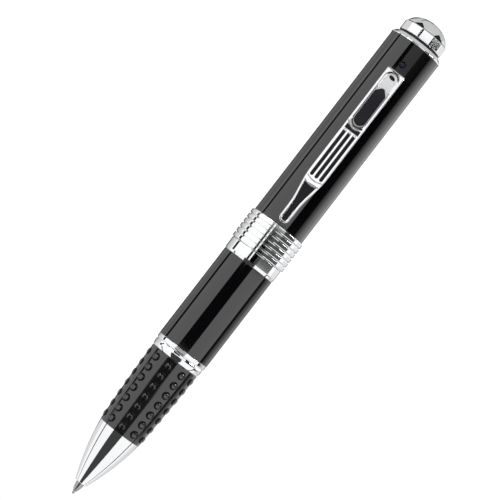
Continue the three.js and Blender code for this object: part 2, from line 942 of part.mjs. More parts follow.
function buttonSpring() {
  const path = new Helix(
    flangeBore - 1.6 * springWire,
    switchBoardHigh + springWire / 2 + 0.05,
    neckBottom - springWire / 2 - 0.05,
    3,
  );
  const settings = { steps: 36, extrudePath: path, curveSegments: 3 };
  return new THREE.ExtrudeGeometry(circle(springWire / 2), settings);
}

// Twelve flats below, and a dome whose rim is scalloped once for each flat.
function buttonCrown() {
  const corner = crownRadius / Math.cos(Math.PI / crownSides);
  const scallop = 0.05;
  const edge = 0.25;
  // shares of the corner radius and of the dome's height, from its rim to its top
  const dome = [[0.96, 0], [0.9, 0.3], [0.74, 0.68], [0.46, 0.92], [0, 1]];
  const profile = [
    [0, crownFront],
    [0.97 * corner, crownFront],
    [corner, crownFront + edge],
    [corner, domeFront - edge],
    ...dome.map(([share, rise]) => [share * corner, domeFront + rise * crownDomeLength]),
  ];
  const geometry = turned(profile, 2 * crownSides);
  const position = geometry.attributes.position;
  const point = new THREE.Vector3();
  for (let i = 0; i < position.count; i += 1) {
    point.fromBufferAttribute(position, i);
    const sector = (Math.atan2(point.x, -point.y) / Math.PI) * crownSides;
    const onCorner = Math.abs(Math.round(sector) % 2) === 1;
    const flat = onCorner ? 1 : Math.cos(Math.PI / crownSides);
    const above = Math.min(Math.max((point.z - domeFront) / crownDomeLength, 0), 1);
    const wave = onCorner ? 1 - scallop * 4 * above * (1 - above) : 1;
    position.setXY(i, point.x * flat * wave, point.y * flat * wave);
  }
  return geometry;
}

// ---------------------------------------------------------------------------------------------
// Pocket clip with the lens shutter
// ---------------------------------------------------------------------------------------------

const slotTop = clipTop - slotEndBar;
const slotBottom = slotTop - slotLength;
const slotHalf = tongueWidth / 2 + tongueSideGap;
const slotCorner = 1.4;
const overshoot = 1;
const fluteBack = slotBottom - fluteSetback;
const clipShoulder = fluteBack - fluteLength;
const crossBarFront = clipShoulder - crossBarLength;
const taperHigh = clipShoulder + taperLead;
const taperLow = taperHigh - taperLength;
const tongueLap = 0.65;
const tongueNear = clipInner - tongueLap;
const tongueFar = tongueNear + tongueThickness;
const padFar = tongueFar + padThickness;
const shutterTop = slotTop - faceGap;
const padTop = slotTop - shutterTravel - padBackRoom;
const padBottom = slotBottom + padFrontRoom;
const mountTop = mountFront + mountLength;
const mountFar = tongueNear - turnGap;
const mountHalf = 2.05;
const clipPinRadius = 0.4;
const clipPinDistance = mountFar - 0.6;
const clipPinHeight = mountTop - 0.6;
const rivetRadius = 0.5;
const rivetHeights = [mountFront + 1.4, mountFront + 3.9];
const rivetSkin = 0.4;
const seatGap = 0.05;
const clipSpringHalf = 0.6;
const rivetHeadRadius = rivetRadius + 0.4;
const rivetHeadThickness = 0.45;
const cheekHalfLength = 1.2;
const cheekReach = 0.7;
const heelSize = [1.2, clipStandoff - 0.3, 1.6];
const heelCentre = clipTail + 1.9;
const heelLap = 0.3;
const footLength = 3.9;
const footThickness = 0.4;
const inlaySeat = 0.5;
const inlayRecess = 0.3;
const markBelowTop = 1.1;
const markHalfWidth = 1.05;
const markHalfHeight = 0.55;
const markDepth = 0.5;
const padPoint = 1.2;
const padTipShare = 0.15;

function clipHalfWidth(height) {
  const t = THREE.MathUtils.smoothstep(height, taperLow, taperHigh);
  return (clipTailWidth + (clipWidth - clipTailWidth) * t) / 2;
}

// The clip's outline between two heights, drawn this much inside its edge, with a rounded tail and a
// top edge that dips towards the nib by this much.
function clipOutline(inset, low, high, dip = 0) {
  const tailRadius = clipTailWidth / 2 - inset;
  const steps = 12;
  const side = [];
  for (let i = 0; i <= steps; i += 1) {
    const height = low + tailRadius + (high - low - tailRadius) * (i / steps);
    side.push(new THREE.Vector2(clipHalfWidth(height) - inset, height));
  }
  const shape = new THREE.Shape();
  shape.absarc(0, low + tailRadius, tailRadius, Math.PI, 2 * Math.PI, false);
  for (const point of side.slice(1)) shape.lineTo(point.x, point.y);
  const topHalf = clipHalfWidth(high) - inset;
  if (dip > 0) shape.quadraticCurveTo(0, high - 2 * dip, -topHalf, high);
  for (const point of side.slice(1).reverse()) shape.lineTo(-point.x, point.y);
  return shape;
}

// A slot with a round lower end and rounded upper corners.
function slotShape(half, low, high, corner) {
  const shape = new THREE.Shape();
  shape.absarc(0, low + half, half, Math.PI, 2 * Math.PI, false);
  shape.absarc(half - corner, high - corner, corner, 0, Math.PI / 2, false);
  shape.absarc(corner - half, high - corner, corner, Math.PI / 2, Math.PI, false);
  return shape;
}

function clipFrame() {
  const body = plate(clipOutline(0, clipTail, clipTop), clipInner, clipOuter);
  const opening = clipOutline(clipRail, clipTail + clipRail, crossBarFront, crossBarBulge);
  const through = [clipInner - overshoot, clipOuter + overshoot];
  const window = plate(opening, ...through);
  const slot = plate(slotShape(slotHalf, slotBottom, slotTop, slotCorner), ...through);
  const underBar = box(
    [-tongueWidth / 2 - 0.2, tongueWidth / 2 + 0.2],
    [-tongueFar - faceGap, -clipInner + overshoot],
    [slotTop - overshoot, clipTop + overshoot],
  );
  const cheeks = [-1, 1].map((side) => {
    const inner = mountHalf + faceGap;
    const outer = clipWidth / 2;
    const across = side > 0 ? [inner, outer] : [-outer, -inner];
    const height = [clipPinHeight - cheekHalfLength, clipPinHeight + cheekHalfLength];
    return box(across, [-clipInner - heelLap, -clipPinDistance + cheekReach], height);
  });
  const heel = new THREE.SphereGeometry(1, 10, 6).scale(...heelSize).translate(0, -clipInner, heelCentre);
  const heelTrim = box(
    [-clipWidth, clipWidth],
    [-clipOuter - clipStandoff, -clipInner - heelLap],
    [clipTail - overshoot, heelCentre + clipWidth],
  );
  const footFront = clipTail + clipRail / 2;
  const footOutline = clipOutline(clipRail / 2, footFront, footFront + footLength);
  const foot = plate(footOutline, clipInner, clipInner + footThickness);
  const grooves = [];
  for (let i = 0; i < flutes; i += 1) {
    const tool = new THREE.CapsuleGeometry(fluteRadius, fluteLength - 2 * fluteRadius, 3, 12);
    tool.rotateX(Math.PI / 2);
    const x = (i - (flutes - 1) / 2) * flutePitch;
    grooves.push(tool.translate(x, -clipOuter - fluteRadius + fluteDepth, fluteBack - fluteLength / 2));
  }
  const pinHole = rod(clipPinRadius + pressGap, -clipWidth, clipWidth, coarse).rotateY(Math.PI / 2);
  pinHole.translate(0, -clipPinDistance, clipPinHeight);
  const framed = cut(body, window, slot, underBar, ...grooves);
  return cut(join(framed, foot, cut(heel, heelTrim), ...cheeks), pinHole);
}

function clipInlay() {
  const inset = clipRail + faceGap;
  const outline = clipOutline(inset, clipTail + inset, crossBarFront - faceGap, crossBarBulge);
  return plate(outline, clipInner + inlaySeat, clipOuter - inlayRecess);
}

function clipPin() {
  const half = clipWidth / 2 - 0.1;
  const pin = rod(clipPinRadius, -half, half, coarse).rotateY(Math.PI / 2);
  return pin.translate(0, -clipPinDistance, clipPinHeight);
}

function clipMount() {
  const block = box([-mountHalf, mountHalf], [-mountFar, overshoot - barrelRadius], [mountFront, mountTop]);
  const seat = rod(barrelRadius + seatGap, mountFront - overshoot, mountTop + overshoot, fine);
  const pinBore = rod(clipPinRadius + 0.08, -mountHalf - overshoot, mountHalf + overshoot, coarse);
  pinBore.rotateY(Math.PI / 2).translate(0, -clipPinDistance, clipPinHeight);
  const springPocket = box(
    [-clipSpringHalf - faceGap, clipSpringHalf + faceGap],
    [-mountFar - overshoot, -clipPinDistance + 0.95],
    [clipPinHeight - 1.0, mountTop + overshoot],
  );
  const rivetEnd = mountFar - rivetSkin;
  const drill = (height) => facing(rod(rivetRadius + seatGap, 0, rivetEnd, coarse), height);
  return cut(block, seat, pinBore, springPocket, ...rivetHeights.map(drill));
}

function clipSpring() {
  const inner = clipPinRadius + 0.06;
  const coil = ring(inner, inner + 0.2, -clipSpringHalf, clipSpringHalf, coarse);
  return coil.rotateY(Math.PI / 2).translate(0, -clipPinDistance, clipPinHeight);
}

function clipRivet(height) {
  const head = upperBore - 0.1;
  return facing(turned([
    [0, head - rivetHeadThickness],
    [rivetHeadRadius, head - rivetHeadThickness],
    [rivetHeadRadius, head],
    [rivetRadius, head],
    [rivetRadius, mountFar - rivetSkin - faceGap],
    [0, mountFar - rivetSkin - faceGap],
  ], coarse), height);
}

function shutterPlate() {
  const half = tongueWidth / 2;
  const tongue = new THREE.Shape();
  tongue.moveTo(-half, padBottom + 0.6);
  tongue.lineTo(half, padBottom + 0.6);
  tongue.absarc(0, shutterTop - half, half, 0, Math.PI, false);
  const bar = plate(tongue, tongueNear, tongueFar);
  const guideHalf = mountHalf - 0.05;
  const guide = box([-guideHalf, guideHalf], [-clipInner + faceGap, -tongueNear], [padBottom + 1, padTop]);
  const markCentre = shutterTop - markBelowTop;
  const mark = new THREE.Shape().absellipse(0, markCentre, markHalfWidth, markHalfHeight, 0, 2 * Math.PI);
  return cut(join(bar, guide), plate(mark, tongueFar - markDepth, tongueFar + overshoot, 12));
}

function thumbPad() {
  const half = tongueWidth / 2;
  const tipHalf = half * padTipShare;
  const outline = new THREE.Shape();
  outline.absarc(0, padBottom + half, half, Math.PI, 2 * Math.PI, false);
  outline.lineTo(half, padTop - padPoint);
  outline.lineTo(tipHalf, padTop);
  outline.lineTo(-tipHalf, padTop);
  outline.lineTo(-half, padTop - padPoint);
  return plate(outline, tongueFar, padFar);
}

// ---------------------------------------------------------------------------------------------
// The pen
// ---------------------------------------------------------------------------------------------

const chrome = { color: 0xd8dadc, roughness: 0.08, metalness: 1.0 };
const steel = { color: 0x9ea1a5, roughness: 0.3, metalness: 1.0 };
const brass = { color: 0xb59450, roughness: 0.35, metalness: 1.0 };
const lacquer = { color: 0x0a0a0c, roughness: 0.08, metalness: 0.0 };
const matteBlack = { color: 0x121114, roughness: 0.7, metalness: 0.0 };
const rubber = { color: 0x1a1a1c, roughness: 0.3, metalness: 0.0 };
const blackPlastic = { color: 0x141416, roughness: 0.45, metalness: 0.0 };
const whitePlastic = { color: 0xe6e6e2, roughness: 0.4, metalness: 0.0 };
const redSleeve = { color: 0xa01818, roughness: 0.5, metalness: 0.0 };
const board = { color: 0x0f4a2a, roughness: 0.5, metalness: 0.0 };
const foil = { color: 0x3b4c7a, roughness: 0.35, metalness: 0.0 };
const amberFilm = { color: 0xa86a20, roughness: 0.4, metalness: 0.0 };
const glass = { color: 0x1a1440, roughness: 0.03, metalness: 0.0 };
const lightLens = { color: 0x4a7fd0, roughness: 0.2, metalness: 0.0 };

const pieces = [
  ['upper_barrel', upperBarrel(), lacquer],
  ['centre_collar', centreCollar(), chrome],
  ['spigot', spigot(), steel],
  ['end_cap', endCap(), blackPlastic],
  ['io_board', ioBoard(), board],
  ['usb_shell', usbShell(), steel],
  ['usb_tongue', usbTongue(), blackPlastic],
  ['card_slot', cardSlot(), steel],
  ['board_ribbon', boardRibbon(), amberFilm],
  ['chassis', chassis(), blackPlastic],
  ['battery_cell', batteryCell(), foil],
  ['battery_lead_red', batteryLead(2.4), redSleeve],
  ['battery_lead_black', batteryLead(-2.4), blackPlastic],
  ['main_board', mainBoard(), board],
  ['processor', chip(6, 6, 0.9, 11), blackPlastic],
  ['memory_chip', chip(5, 4, 0.8, 19), blackPlastic],
  ['camera_module', cameraModule(), blackPlastic],
  ['lens_barrel', lensBarrel(), blackPlastic],
  ['lens_bezel', lensBezel(), blackPlastic],
  ['front_lens', frontLens(), glass],
  ['sensor_ribbon', sensorRibbon(), amberFilm],
  ['switch_board', switchBoard(), board],
  ['switch_ribbon', switchRibbon(), amberFilm],
  ['tact_switch', tactSwitch(), blackPlastic],
  ['status_light', statusLight(), lightLens],
  ['microphone', microphone(), steel],
  ['crown_flange', crownFlange(), chrome],
  ['button_spring', buttonSpring(), steel],
  ['clip_mount', clipMount(), chrome],
  ['clip_spring', clipSpring(), steel],
  ['clip_rivet_lower', clipRivet(rivetHeights[0]), steel],
  ['clip_rivet_upper', clipRivet(rivetHeights[1]), steel],
  ['clip_frame', clipFrame(), chrome],
  ['clip_inlay', clipInlay(), matteBlack],
  ['clip_pin', clipPin(), steel],
  ['shutter_plate', shutterPlate(), chrome],
  ['thumb_pad', thumbPad(), matteBlack],
  ['button_crown', buttonCrown(), chrome],
  ['button_stem', buttonStem(), blackPlastic],
  ['switch_plunger', switchPlunger(), whitePlastic],
  ['memory_card', memoryCard(), blackPlastic],
  ['twist_core', twistCore(), whitePlastic],
  ['retaining_ring', retainingRing(), steel],
  ['cam_sleeve', camSleeve(), brass],
  ['lower_band', lowerBand(), chrome],
  ['lower_barrel', lowerBarrel(), lacquer],
  ['thread_washer', threadWasher(), whitePlastic],
  ['grip_core', gripCore(), brass],
  ['lower_ring', lowerRing(), chrome],
  ['grip_sleeve', gripSleeve(), rubber],
  ['nose_cone', noseCone(), chrome],
  ['cam_follower', camFollower(), whitePlastic],
  ['follower_pin', followerPin(), steel],
  ['refill_tail', refillTail(), whitePlastic],
  ['refill_tube', refillTube(), blackPlastic],
  ['refill_nib', refillNib(), steel],
  ['refill_ball', refillBall(), steel],
];

const pen = new THREE.Group();
pen.position.z = -mountFront;
for (const [name, geometry, finish] of pieces) {
  const mesh = new THREE.Mesh(weld(geometry), new THREE.MeshStandardMaterial(finish));
  mesh.name = name;
  pen.add(mesh);
}

const group = new THREE.Group();
group.add(pen);

export default group;
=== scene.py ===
# %% [markdown]
# # A camera pen
# This is a twist-action ballpoint pen with a camera in its upper half, built in Blender round a packed
# CAD model. The CAD model gives every place and every moving body. Each piece that shows gets a finer
# mesh here, and each finish gets a material made of nodes. One way would be to smooth the CAD meshes.
# New meshes are better, because a turned or pressed metal part shows its quality in its edges, and the
# CAD solids have none.

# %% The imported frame
import json
import math

import bmesh
import bpy
from mathutils import Matrix, Vector


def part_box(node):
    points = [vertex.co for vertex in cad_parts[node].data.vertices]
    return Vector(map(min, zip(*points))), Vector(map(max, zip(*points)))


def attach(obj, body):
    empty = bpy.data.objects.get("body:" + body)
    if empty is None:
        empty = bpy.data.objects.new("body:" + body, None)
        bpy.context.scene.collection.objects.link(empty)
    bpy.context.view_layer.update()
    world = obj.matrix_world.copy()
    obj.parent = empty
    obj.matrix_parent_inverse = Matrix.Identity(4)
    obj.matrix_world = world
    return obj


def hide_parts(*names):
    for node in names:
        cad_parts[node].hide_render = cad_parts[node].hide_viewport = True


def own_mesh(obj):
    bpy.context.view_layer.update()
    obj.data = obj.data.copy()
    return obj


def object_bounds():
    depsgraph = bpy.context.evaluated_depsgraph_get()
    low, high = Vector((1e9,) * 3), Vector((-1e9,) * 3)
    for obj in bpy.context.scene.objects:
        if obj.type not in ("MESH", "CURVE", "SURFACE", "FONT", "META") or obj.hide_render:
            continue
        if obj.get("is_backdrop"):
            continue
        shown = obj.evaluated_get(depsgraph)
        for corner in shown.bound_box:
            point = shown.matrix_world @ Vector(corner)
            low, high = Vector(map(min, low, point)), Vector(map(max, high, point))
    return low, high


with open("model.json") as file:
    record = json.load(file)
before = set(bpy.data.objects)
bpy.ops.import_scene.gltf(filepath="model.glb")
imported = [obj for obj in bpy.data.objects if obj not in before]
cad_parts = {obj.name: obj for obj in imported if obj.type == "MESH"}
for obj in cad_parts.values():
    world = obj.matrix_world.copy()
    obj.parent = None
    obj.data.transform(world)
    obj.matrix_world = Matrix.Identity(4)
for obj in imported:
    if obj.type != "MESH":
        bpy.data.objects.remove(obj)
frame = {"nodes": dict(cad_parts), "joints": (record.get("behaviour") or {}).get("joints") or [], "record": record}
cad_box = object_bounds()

MM = 0.001
X, Y, Z = range(3)
SCENE = bpy.context.scene
BODY_OF = {
    node: body for body, nodes in frame["record"]["behaviour"]["bodies"].items() for node in nodes
}
SLOT_OF = {part["node"]: part["material_slot"] for part in frame["record"]["subparts"]}


def ends(node, axis=Z):
    """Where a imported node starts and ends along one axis, in millimetres."""
    lowest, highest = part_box(node)
    return lowest[axis] / MM, highest[axis] / MM


def outer_radius(node):
    """Half of a turned node's width, in millimetres."""
    low, high = ends(node, X)
    return (high - low) / 2


NIB_TIP = ends("refill_ball")[0]
print("nodes:", len(SLOT_OF), "nib's tip at", round(NIB_TIP, 2))

# %% [markdown]
# ## Camera
# A product view of a pen is taken from far away with a long lens, so that its sides stay parallel. The
# camera stands in front of the grip, looks level at the middle of the pen and is rolled, so that the
# upright pen leans across the picture. Rolling the camera keeps the pen itself upright in its frame.

# %% Camera
CAMERA_PLACE = Vector((0, -600, NIB_TIP + 57.0))
CAMERA_TARGET = Vector((-1.956, 0, NIB_TIP + 75.02))
CAMERA_ROLL = math.radians(37.61)
CAMERA_LENS = 172.95


def add_camera():
    forward = (CAMERA_TARGET - CAMERA_PLACE).normalized()
    level = forward.cross(Vector((0, 0, 1))).normalized()
    lift = level.cross(forward)
    right = level * math.cos(CAMERA_ROLL) + lift * math.sin(CAMERA_ROLL)
    up = lift * math.cos(CAMERA_ROLL) - level * math.sin(CAMERA_ROLL)
    pose = Matrix((right, up, -forward)).transposed().to_4x4()
    pose.translation = CAMERA_PLACE * MM
    data = bpy.data.cameras.new("product_camera")
    data.lens = CAMERA_LENS
    data.clip_start = 0.01
    camera = bpy.data.objects.new("product_camera", data)
    camera.matrix_world = pose
    SCENE.collection.objects.link(camera)
    SCENE.camera = camera
    return camera


print("camera at", [round(v, 4) for v in add_camera().matrix_world.translation])

# %% [markdown]
# ## Shader maths
# A material is a small program drawn as nodes. Placing each Math node by hand hides the formula, so one
# class stands for a socket and overloads the operators. An expression such as `0.1 + 0.05 * grain` then
# adds the Math nodes for it. Any other node comes from `Finish.node`, which takes the node's type, its
# settings and the values or links of its sockets.

# %% Sockets as values
class Value:
    """A socket that carries a number, a vector or a colour."""

    def __init__(self, finish, socket):
        self.finish = finish
        self.socket = socket

    def math(self, operation, *terms):
        return self.finish.node("ShaderNodeMath", {"operation": operation}, dict(enumerate(terms)))

    def __add__(self, other):
        return self.math("ADD", self, other)

    def __sub__(self, other):
        return self.math("SUBTRACT", self, other)

    def __mul__(self, other):
        return self.math("MULTIPLY", self, other)

    def __truediv__(self, other):
        return self.math("DIVIDE", self, other)

    def __pow__(self, other):
        return self.math("POWER", self, other)

    def __radd__(self, other):
        return self.math("ADD", other, self)

    def __rsub__(self, other):
        return self.math("SUBTRACT", other, self)

    def __rmul__(self, other):
        return self.math("MULTIPLY", other, self)

    def __rtruediv__(self, other):
        return self.math("DIVIDE", other, self)

    def __gt__(self, other):
        return self.math("GREATER_THAN", self, other)

    def __lt__(self, other):
        return self.math("LESS_THAN", self, other)


# %% A finish and its nodes
class Finish:
    """One material with a Principled shader. Sockets that don't vary are set on the shader itself."""

    def __init__(self, name, constants):
        self.material = bpy.data.materials.new(name)
        self.material.use_nodes = True
        self.tree = self.material.node_tree
        self.shader = self.tree.nodes["Principled BSDF"]
        for socket, value in constants.items():
            self.shader.inputs[socket].default_value = value

    def node(self, kind, settings=None, inputs=None, output=0):
        node = self.tree.nodes.new(kind)
        for setting, value in (settings or {}).items():
            if setting == "stops":
                self.set_stops(node.color_ramp, value)
            else:
                setattr(node, setting, value)
        for socket, value in (inputs or {}).items():
            self.feed(node.inputs[socket], value)
        return Value(self, node.outputs[output])

    def set_stops(self, ramp, stops):
        while len(ramp.elements) < len(stops):
            ramp.elements.new(1.0)
        for element, (position, colour) in zip(ramp.elements, stops):
            element.position = position
            element.color = (*colour, 1.0)

    def feed(self, socket, value):
        if isinstance(value, Value):
            self.tree.links.new(value.socket, socket)
        else:
            socket.default_value = value

    def vary(self, socket, value):
        """Lets something that changes over the surface drive one of the shader's sockets."""
        self.feed(self.shader.inputs[socket], value)

    def place(self):
        return self.node("ShaderNodeTexCoord", output="Object")

    def moved(self, by=(0, 0, 0), scale=(1, 1, 1)):
        """The place on the object, moved and then stretched, in metres."""
        shifted = self.node(
            "ShaderNodeVectorMath", {"operation": "SUBTRACT"}, {0: self.place(), 1: by}
        )
        return self.node(
            "ShaderNodeVectorMath", {"operation": "MULTIPLY"}, {0: shifted, 1: scale}
        )

    def grain(self, size, detail=2.0, stretch=(1, 1, 1)):
        """Soft noise from 0 to 1 whose spots are about this many millimetres across."""
        return self.node(
            "ShaderNodeTexNoise",
            inputs={"Vector": self.moved(scale=stretch), "Scale": 1 / (size * MM), "Detail": detail},
        )

    def axis(self, place, name):
        return self.node("ShaderNodeSeparateXYZ", inputs={0: place}, output=name)

    def length(self, vector):
        return self.node(
            "ShaderNodeVectorMath", {"operation": "LENGTH"}, {0: vector}, output="Value"
        )

    def blend(self, factor, first, second):
        """Mixes two colours."""
        return self.node(
            "ShaderNodeMix", {"data_type": "RGBA"}, {0: factor, 6: first, 7: second}, output=2
        )

    def ramp(self, factor, stops, interpolation="LINEAR"):
        ramp = self.node("ShaderNodeValToRGB", {"stops": stops}, {0: factor})
        ramp.socket.node.color_ramp.interpolation = interpolation
        return ramp

    def bump(self, height, depth, strength=1.0):
        """Raises the surface in shading by up to this many millimetres."""
        relief = self.node(
            "ShaderNodeBump", inputs={"Height": height, "Distance": depth * MM, "Strength": strength}
        )
        self.vary("Normal", relief)


def colour(red, green, blue):
    return (red, green, blue, 1.0)


FINISHES = {}

# %% [markdown]
# ## Lacquer
# The barrels are brass tubes under a thick black lacquer, polished until it mirrors the room. A plain
# glossy black reflects only four parts in a hundred, which looks too dark beside the real thing, so the
# refractive index is set higher, as for the hard clear coat that such tubes have. A faint orange peel
# in the normals and a little haze in the roughness keep it from looking like glass.

# %% Black lacquer
LACQUER_INDEX = 1.78


def black_lacquer():
    finish = Finish("black_lacquer", {"IOR": LACQUER_INDEX})
    haze = finish.grain(9.0, detail=3.0)
    deep, pale = colour(0.0015, 0.0015, 0.002), colour(0.003, 0.003, 0.0035)
    finish.vary("Base Color", finish.blend(haze, deep, pale))
    finish.vary("Roughness", 0.018 + 0.03 * haze)
    finish.bump(finish.grain(2.4), 0.0012)
    return finish


FINISHES["black_lacquer"] = black_lacquer()

# %% [markdown]
# ## Chrome and other metals
# The bright parts are plated, so they share one recipe: a metal with a slightly blue-grey colour, very
# low roughness and faint polishing waves. Satin chrome on the shutter is blasted before plating, so its
# grain is fine and its roughness high. Steel and brass inside the pen keep their turning marks, which
# are noise stretched round the axis.

# %% Metals
def metal(name, pale, deep, roughness, spread, grain_size, relief, stretch=(1, 1, 1)):
    finish = Finish(name, {"Metallic": 1.0})
    patches = finish.grain(grain_size * 14, detail=3.0)
    marks = finish.grain(grain_size, detail=2.0, stretch=stretch)
    finish.vary("Base Color", finish.blend(patches, deep, pale))
    finish.vary("Roughness", roughness + spread * patches)
    finish.bump(marks, relief)
    return finish


ROUND_THE_AXIS = (0.08, 0.08, 1)

FINISHES["polished_chrome"] = metal(
    "polished_chrome", colour(0.93, 0.935, 0.945), colour(0.87, 0.88, 0.895), 0.035, 0.03, 1.6, 0.0006
)
FINISHES["steel"] = metal(
    "steel", colour(0.46, 0.47, 0.49), colour(0.33, 0.34, 0.36), 0.16, 0.1, 0.25, 0.004, ROUND_THE_AXIS
)
FINISHES["brass"] = metal(
    "brass", colour(0.78, 0.61, 0.31), colour(0.62, 0.46, 0.2), 0.22, 0.14, 0.25, 0.004, ROUND_THE_AXIS
)


def satin_chrome():
    finish = Finish("satin_chrome", {"Metallic": 0.55})
    grit = finish.grain(0.12, detail=3.0)
    finish.vary("Base Color", finish.blend(grit, colour(0.8, 0.81, 0.82), colour(0.93, 0.93, 0.94)))
    finish.vary("Roughness", 0.24 + 0.14 * grit)
    finish.bump(grit, 0.006)
    return finish


FINISHES["satin_chrome"] = satin_chrome()
print("metals:", [name for name in FINISHES if name != "black_lacquer"])

# %% [markdown]
# ## Rubber and plastics
# The grip is a moulded rubber sleeve that comes out of a polished mould, so it is glossy, with a finer
# grain than leather. The thumb pad, the clip's inlay and the black painted into the clip's flutes and
# beside its slot, which is painted dark reflection and painted shade, have a dead matte coat, which
# reflects almost nothing. The plastics differ in colour and in how rough their mould was. One function
# makes them all, because only those numbers change.

# %% Moulded finishes
def moulded(name, pale, deep, roughness, grain_size, relief, constants=None):
    finish = Finish(name, constants or {})
    patches = finish.grain(grain_size * 20, detail=3.0)
    skin = finish.grain(grain_size, detail=2.0)
    finish.vary("Base Color", finish.blend(patches, deep, pale))
    finish.vary("Roughness", roughness + 0.1 * skin)
    finish.bump(skin, relief)
    return finish


FINISHES["black_rubber"] = moulded(
    "black_rubber", colour(0.006, 0.006, 0.007), colour(0.003, 0.003, 0.0035), 0.09, 0.22, 0.003,
    {"Specular IOR Level": 0.1, "Coat IOR": 1.76, "Coat Roughness": 0.09},
)
FINISHES["matte_black"] = moulded(
    "matte_black", colour(0.018, 0.016, 0.021), colour(0.009, 0.008, 0.011), 0.62, 0.16, 0.012,
    {"Specular IOR Level": 0.12},
)
FINISHES["black_plastic"] = moulded(
    "black_plastic", colour(0.012, 0.012, 0.014), colour(0.006, 0.006, 0.007), 0.34, 0.12, 0.006,
    {"Specular IOR Level": 0.2},
)
FINISHES["white_plastic"] = moulded(
    "white_plastic", colour(0.86, 0.86, 0.84), colour(0.78, 0.78, 0.76), 0.3, 0.2, 0.004,
    {"Subsurface Weight": 0.1, "Subsurface Scale": 0.001},
)
FINISHES["ink_tube"] = moulded(
    "ink_tube", colour(0.012, 0.012, 0.02), colour(0.004, 0.004, 0.008), 0.16, 0.5, 0.002
)
FINISHES["red_sleeving"] = moulded(
    "red_sleeving", colour(0.62, 0.035, 0.03), colour(0.45, 0.02, 0.02), 0.35, 0.15, 0.004
)
FINISHES["light_lens"] = moulded(
    "light_lens", colour(0.35, 0.55, 0.9), colour(0.2, 0.38, 0.75), 0.08, 0.3, 0.001,
    {"Transmission Weight": 0.4},
)
print("moulded finishes:", len(FINISHES) - 5)

# %% [markdown]
# ## Electronics
# A circuit board shows copper tracks under green lacquer, and the flat cables show copper lines under
# amber film. Both are stripes cut from a coordinate: the place along one axis is folded into a
# repeating ramp, and a threshold turns it into lines. The battery has a printed wrap with a plain band.

# %% Boards, films and wraps
def striped(finish, axis, pitch, share):
    """1 on lines that repeat along an axis, each taking this share of the pitch, in millimetres."""
    lines = finish.axis(finish.place(), axis) / (pitch * MM)
    return lines.math("FRACT", lines) < share


def circuit_board():
    finish = Finish("circuit_board", {"Coat Roughness": 0.2})
    tracks = striped(finish, "X", 0.9, 0.3) * (finish.grain(2.2, detail=0.0) > 0.5)
    mask = finish.blend(finish.grain(3.0), colour(0.012, 0.1, 0.04), colour(0.02, 0.14, 0.06))
    finish.vary("Base Color", finish.blend(tracks, mask, colour(0.05, 0.24, 0.1)))
    finish.vary("Roughness", 0.32 - 0.08 * tracks)
    finish.vary("Coat Weight", 0.4 + 0.2 * tracks)
    finish.bump(tracks, 0.02)
    return finish


def amber_film():
    finish = Finish("amber_film", {})
    lines = striped(finish, "X", 0.5, 0.5)
    finish.vary("Base Color", finish.blend(lines, colour(0.5, 0.23, 0.04), colour(0.72, 0.36, 0.12)))
    finish.vary("Roughness", 0.26 + 0.1 * finish.grain(0.8))
    finish.bump(lines, 0.01)
    return finish


def battery_wrap():
    finish = Finish("battery_wrap", {"Coat Roughness": 0.15})
    height = finish.axis(finish.place(), "Z")
    band = (height > -12 * MM) * (height < -6 * MM)
    wrap = finish.blend(finish.grain(4.0), colour(0.05, 0.1, 0.27), colour(0.08, 0.14, 0.34))
    finish.vary("Base Color", finish.blend(band, wrap, colour(0.75, 0.76, 0.78)))
    finish.vary("Roughness", 0.3 + 0.12 * finish.grain(1.0))
    finish.vary("Coat Weight", 0.3 + 0.1 * band)
    finish.bump(finish.grain(1.5), 0.01)
    return finish


FINISHES["circuit_board"] = circuit_board()
FINISHES["amber_film"] = amber_film()
FINISHES["battery_wrap"] = battery_wrap()

# %% [markdown]
# ## Coated lens
# A small camera lens looks black with coloured rings, because its coating reflects violet and blue and
# the glass below it is dark. Real glass and a real stack of lenses would need many light bounces for a
# dot two millimetres wide. Here a dark solid has those reflections painted on as rings, by distance from
# the lens's own axis: a teal glint and a violet ring, which are painted reflections and not the glass's
# own colour. With a hard clear coat it looks the same from every side.

# %% Lens glass
LENS_LEVEL = sum(ends("front_lens")) / 2
LENS_RADIUS = outer_radius("front_lens")


def coated_glass():
    finish = Finish("coated_glass", {"Specular IOR Level": 0.1, "Coat Roughness": 0.01})
    offset = finish.moved(by=(0, 0, LENS_LEVEL * MM), scale=(1, 0, 1))
    ring = finish.length(offset) / (LENS_RADIUS * MM)
    # Painted reflection: the ramp puts the coating's teal glint and violet ring into the base colour.
    painted_coating_glint = finish.ramp(ring, [
        (0.0, (0.002, 0.003, 0.008)),
        (0.3, (0.003, 0.012, 0.02)),
        (0.5, (0.012, 0.05, 0.07)),
        (0.68, (0.03, 0.015, 0.05)),
        (0.86, (0.012, 0.005, 0.03)),
        (1.0, (0.002, 0.002, 0.004)),
    ])
    finish.vary("Base Color", painted_coating_glint)
    finish.vary("Roughness", 0.03 + 0.02 * finish.grain(0.5))
    finish.vary("Coat Weight", 0.4 - 0.2 * ring)
    return finish


FINISHES["coated_glass"] = coated_glass()
print("lens level", round(LENS_LEVEL, 2), "radius", round(LENS_RADIUS, 2))

# %% [markdown]
# ## Light and floor
# Polished pens are lit by a white room, so that the chrome is white and the lacquer shows clean grey
# bands, and dark cards are stood round the pen to draw the black lines that give the metal its shape.
# Here the world is the white room. The cards are seen only in reflections: they cast no shadow, so the
# pale floor stays clean. Each card spans angles as the pen sees them, 0 towards the camera and positive
# to the right. An upright wall mirrors the place at twice its own angle, so a card at 90 draws a line
# at 45 round the barrel. Cards behind the pen are grey, which keeps its edges apart from the white
# room. The cone tilts down and sees the cards on the floor, and the crown's dome sees those overhead.
# Two small lamps hang above all that an upright wall mirrors, and put the sparks on the grip's domes.

# %% White room
ROOM_WHITE = 1.12
FLOOR_DROP = 34.0
FLOOR_RADIUS = 3000.0
FLOOR_LEVEL = NIB_TIP - FLOOR_DROP
SCENE.view_settings.view_transform = "Standard"


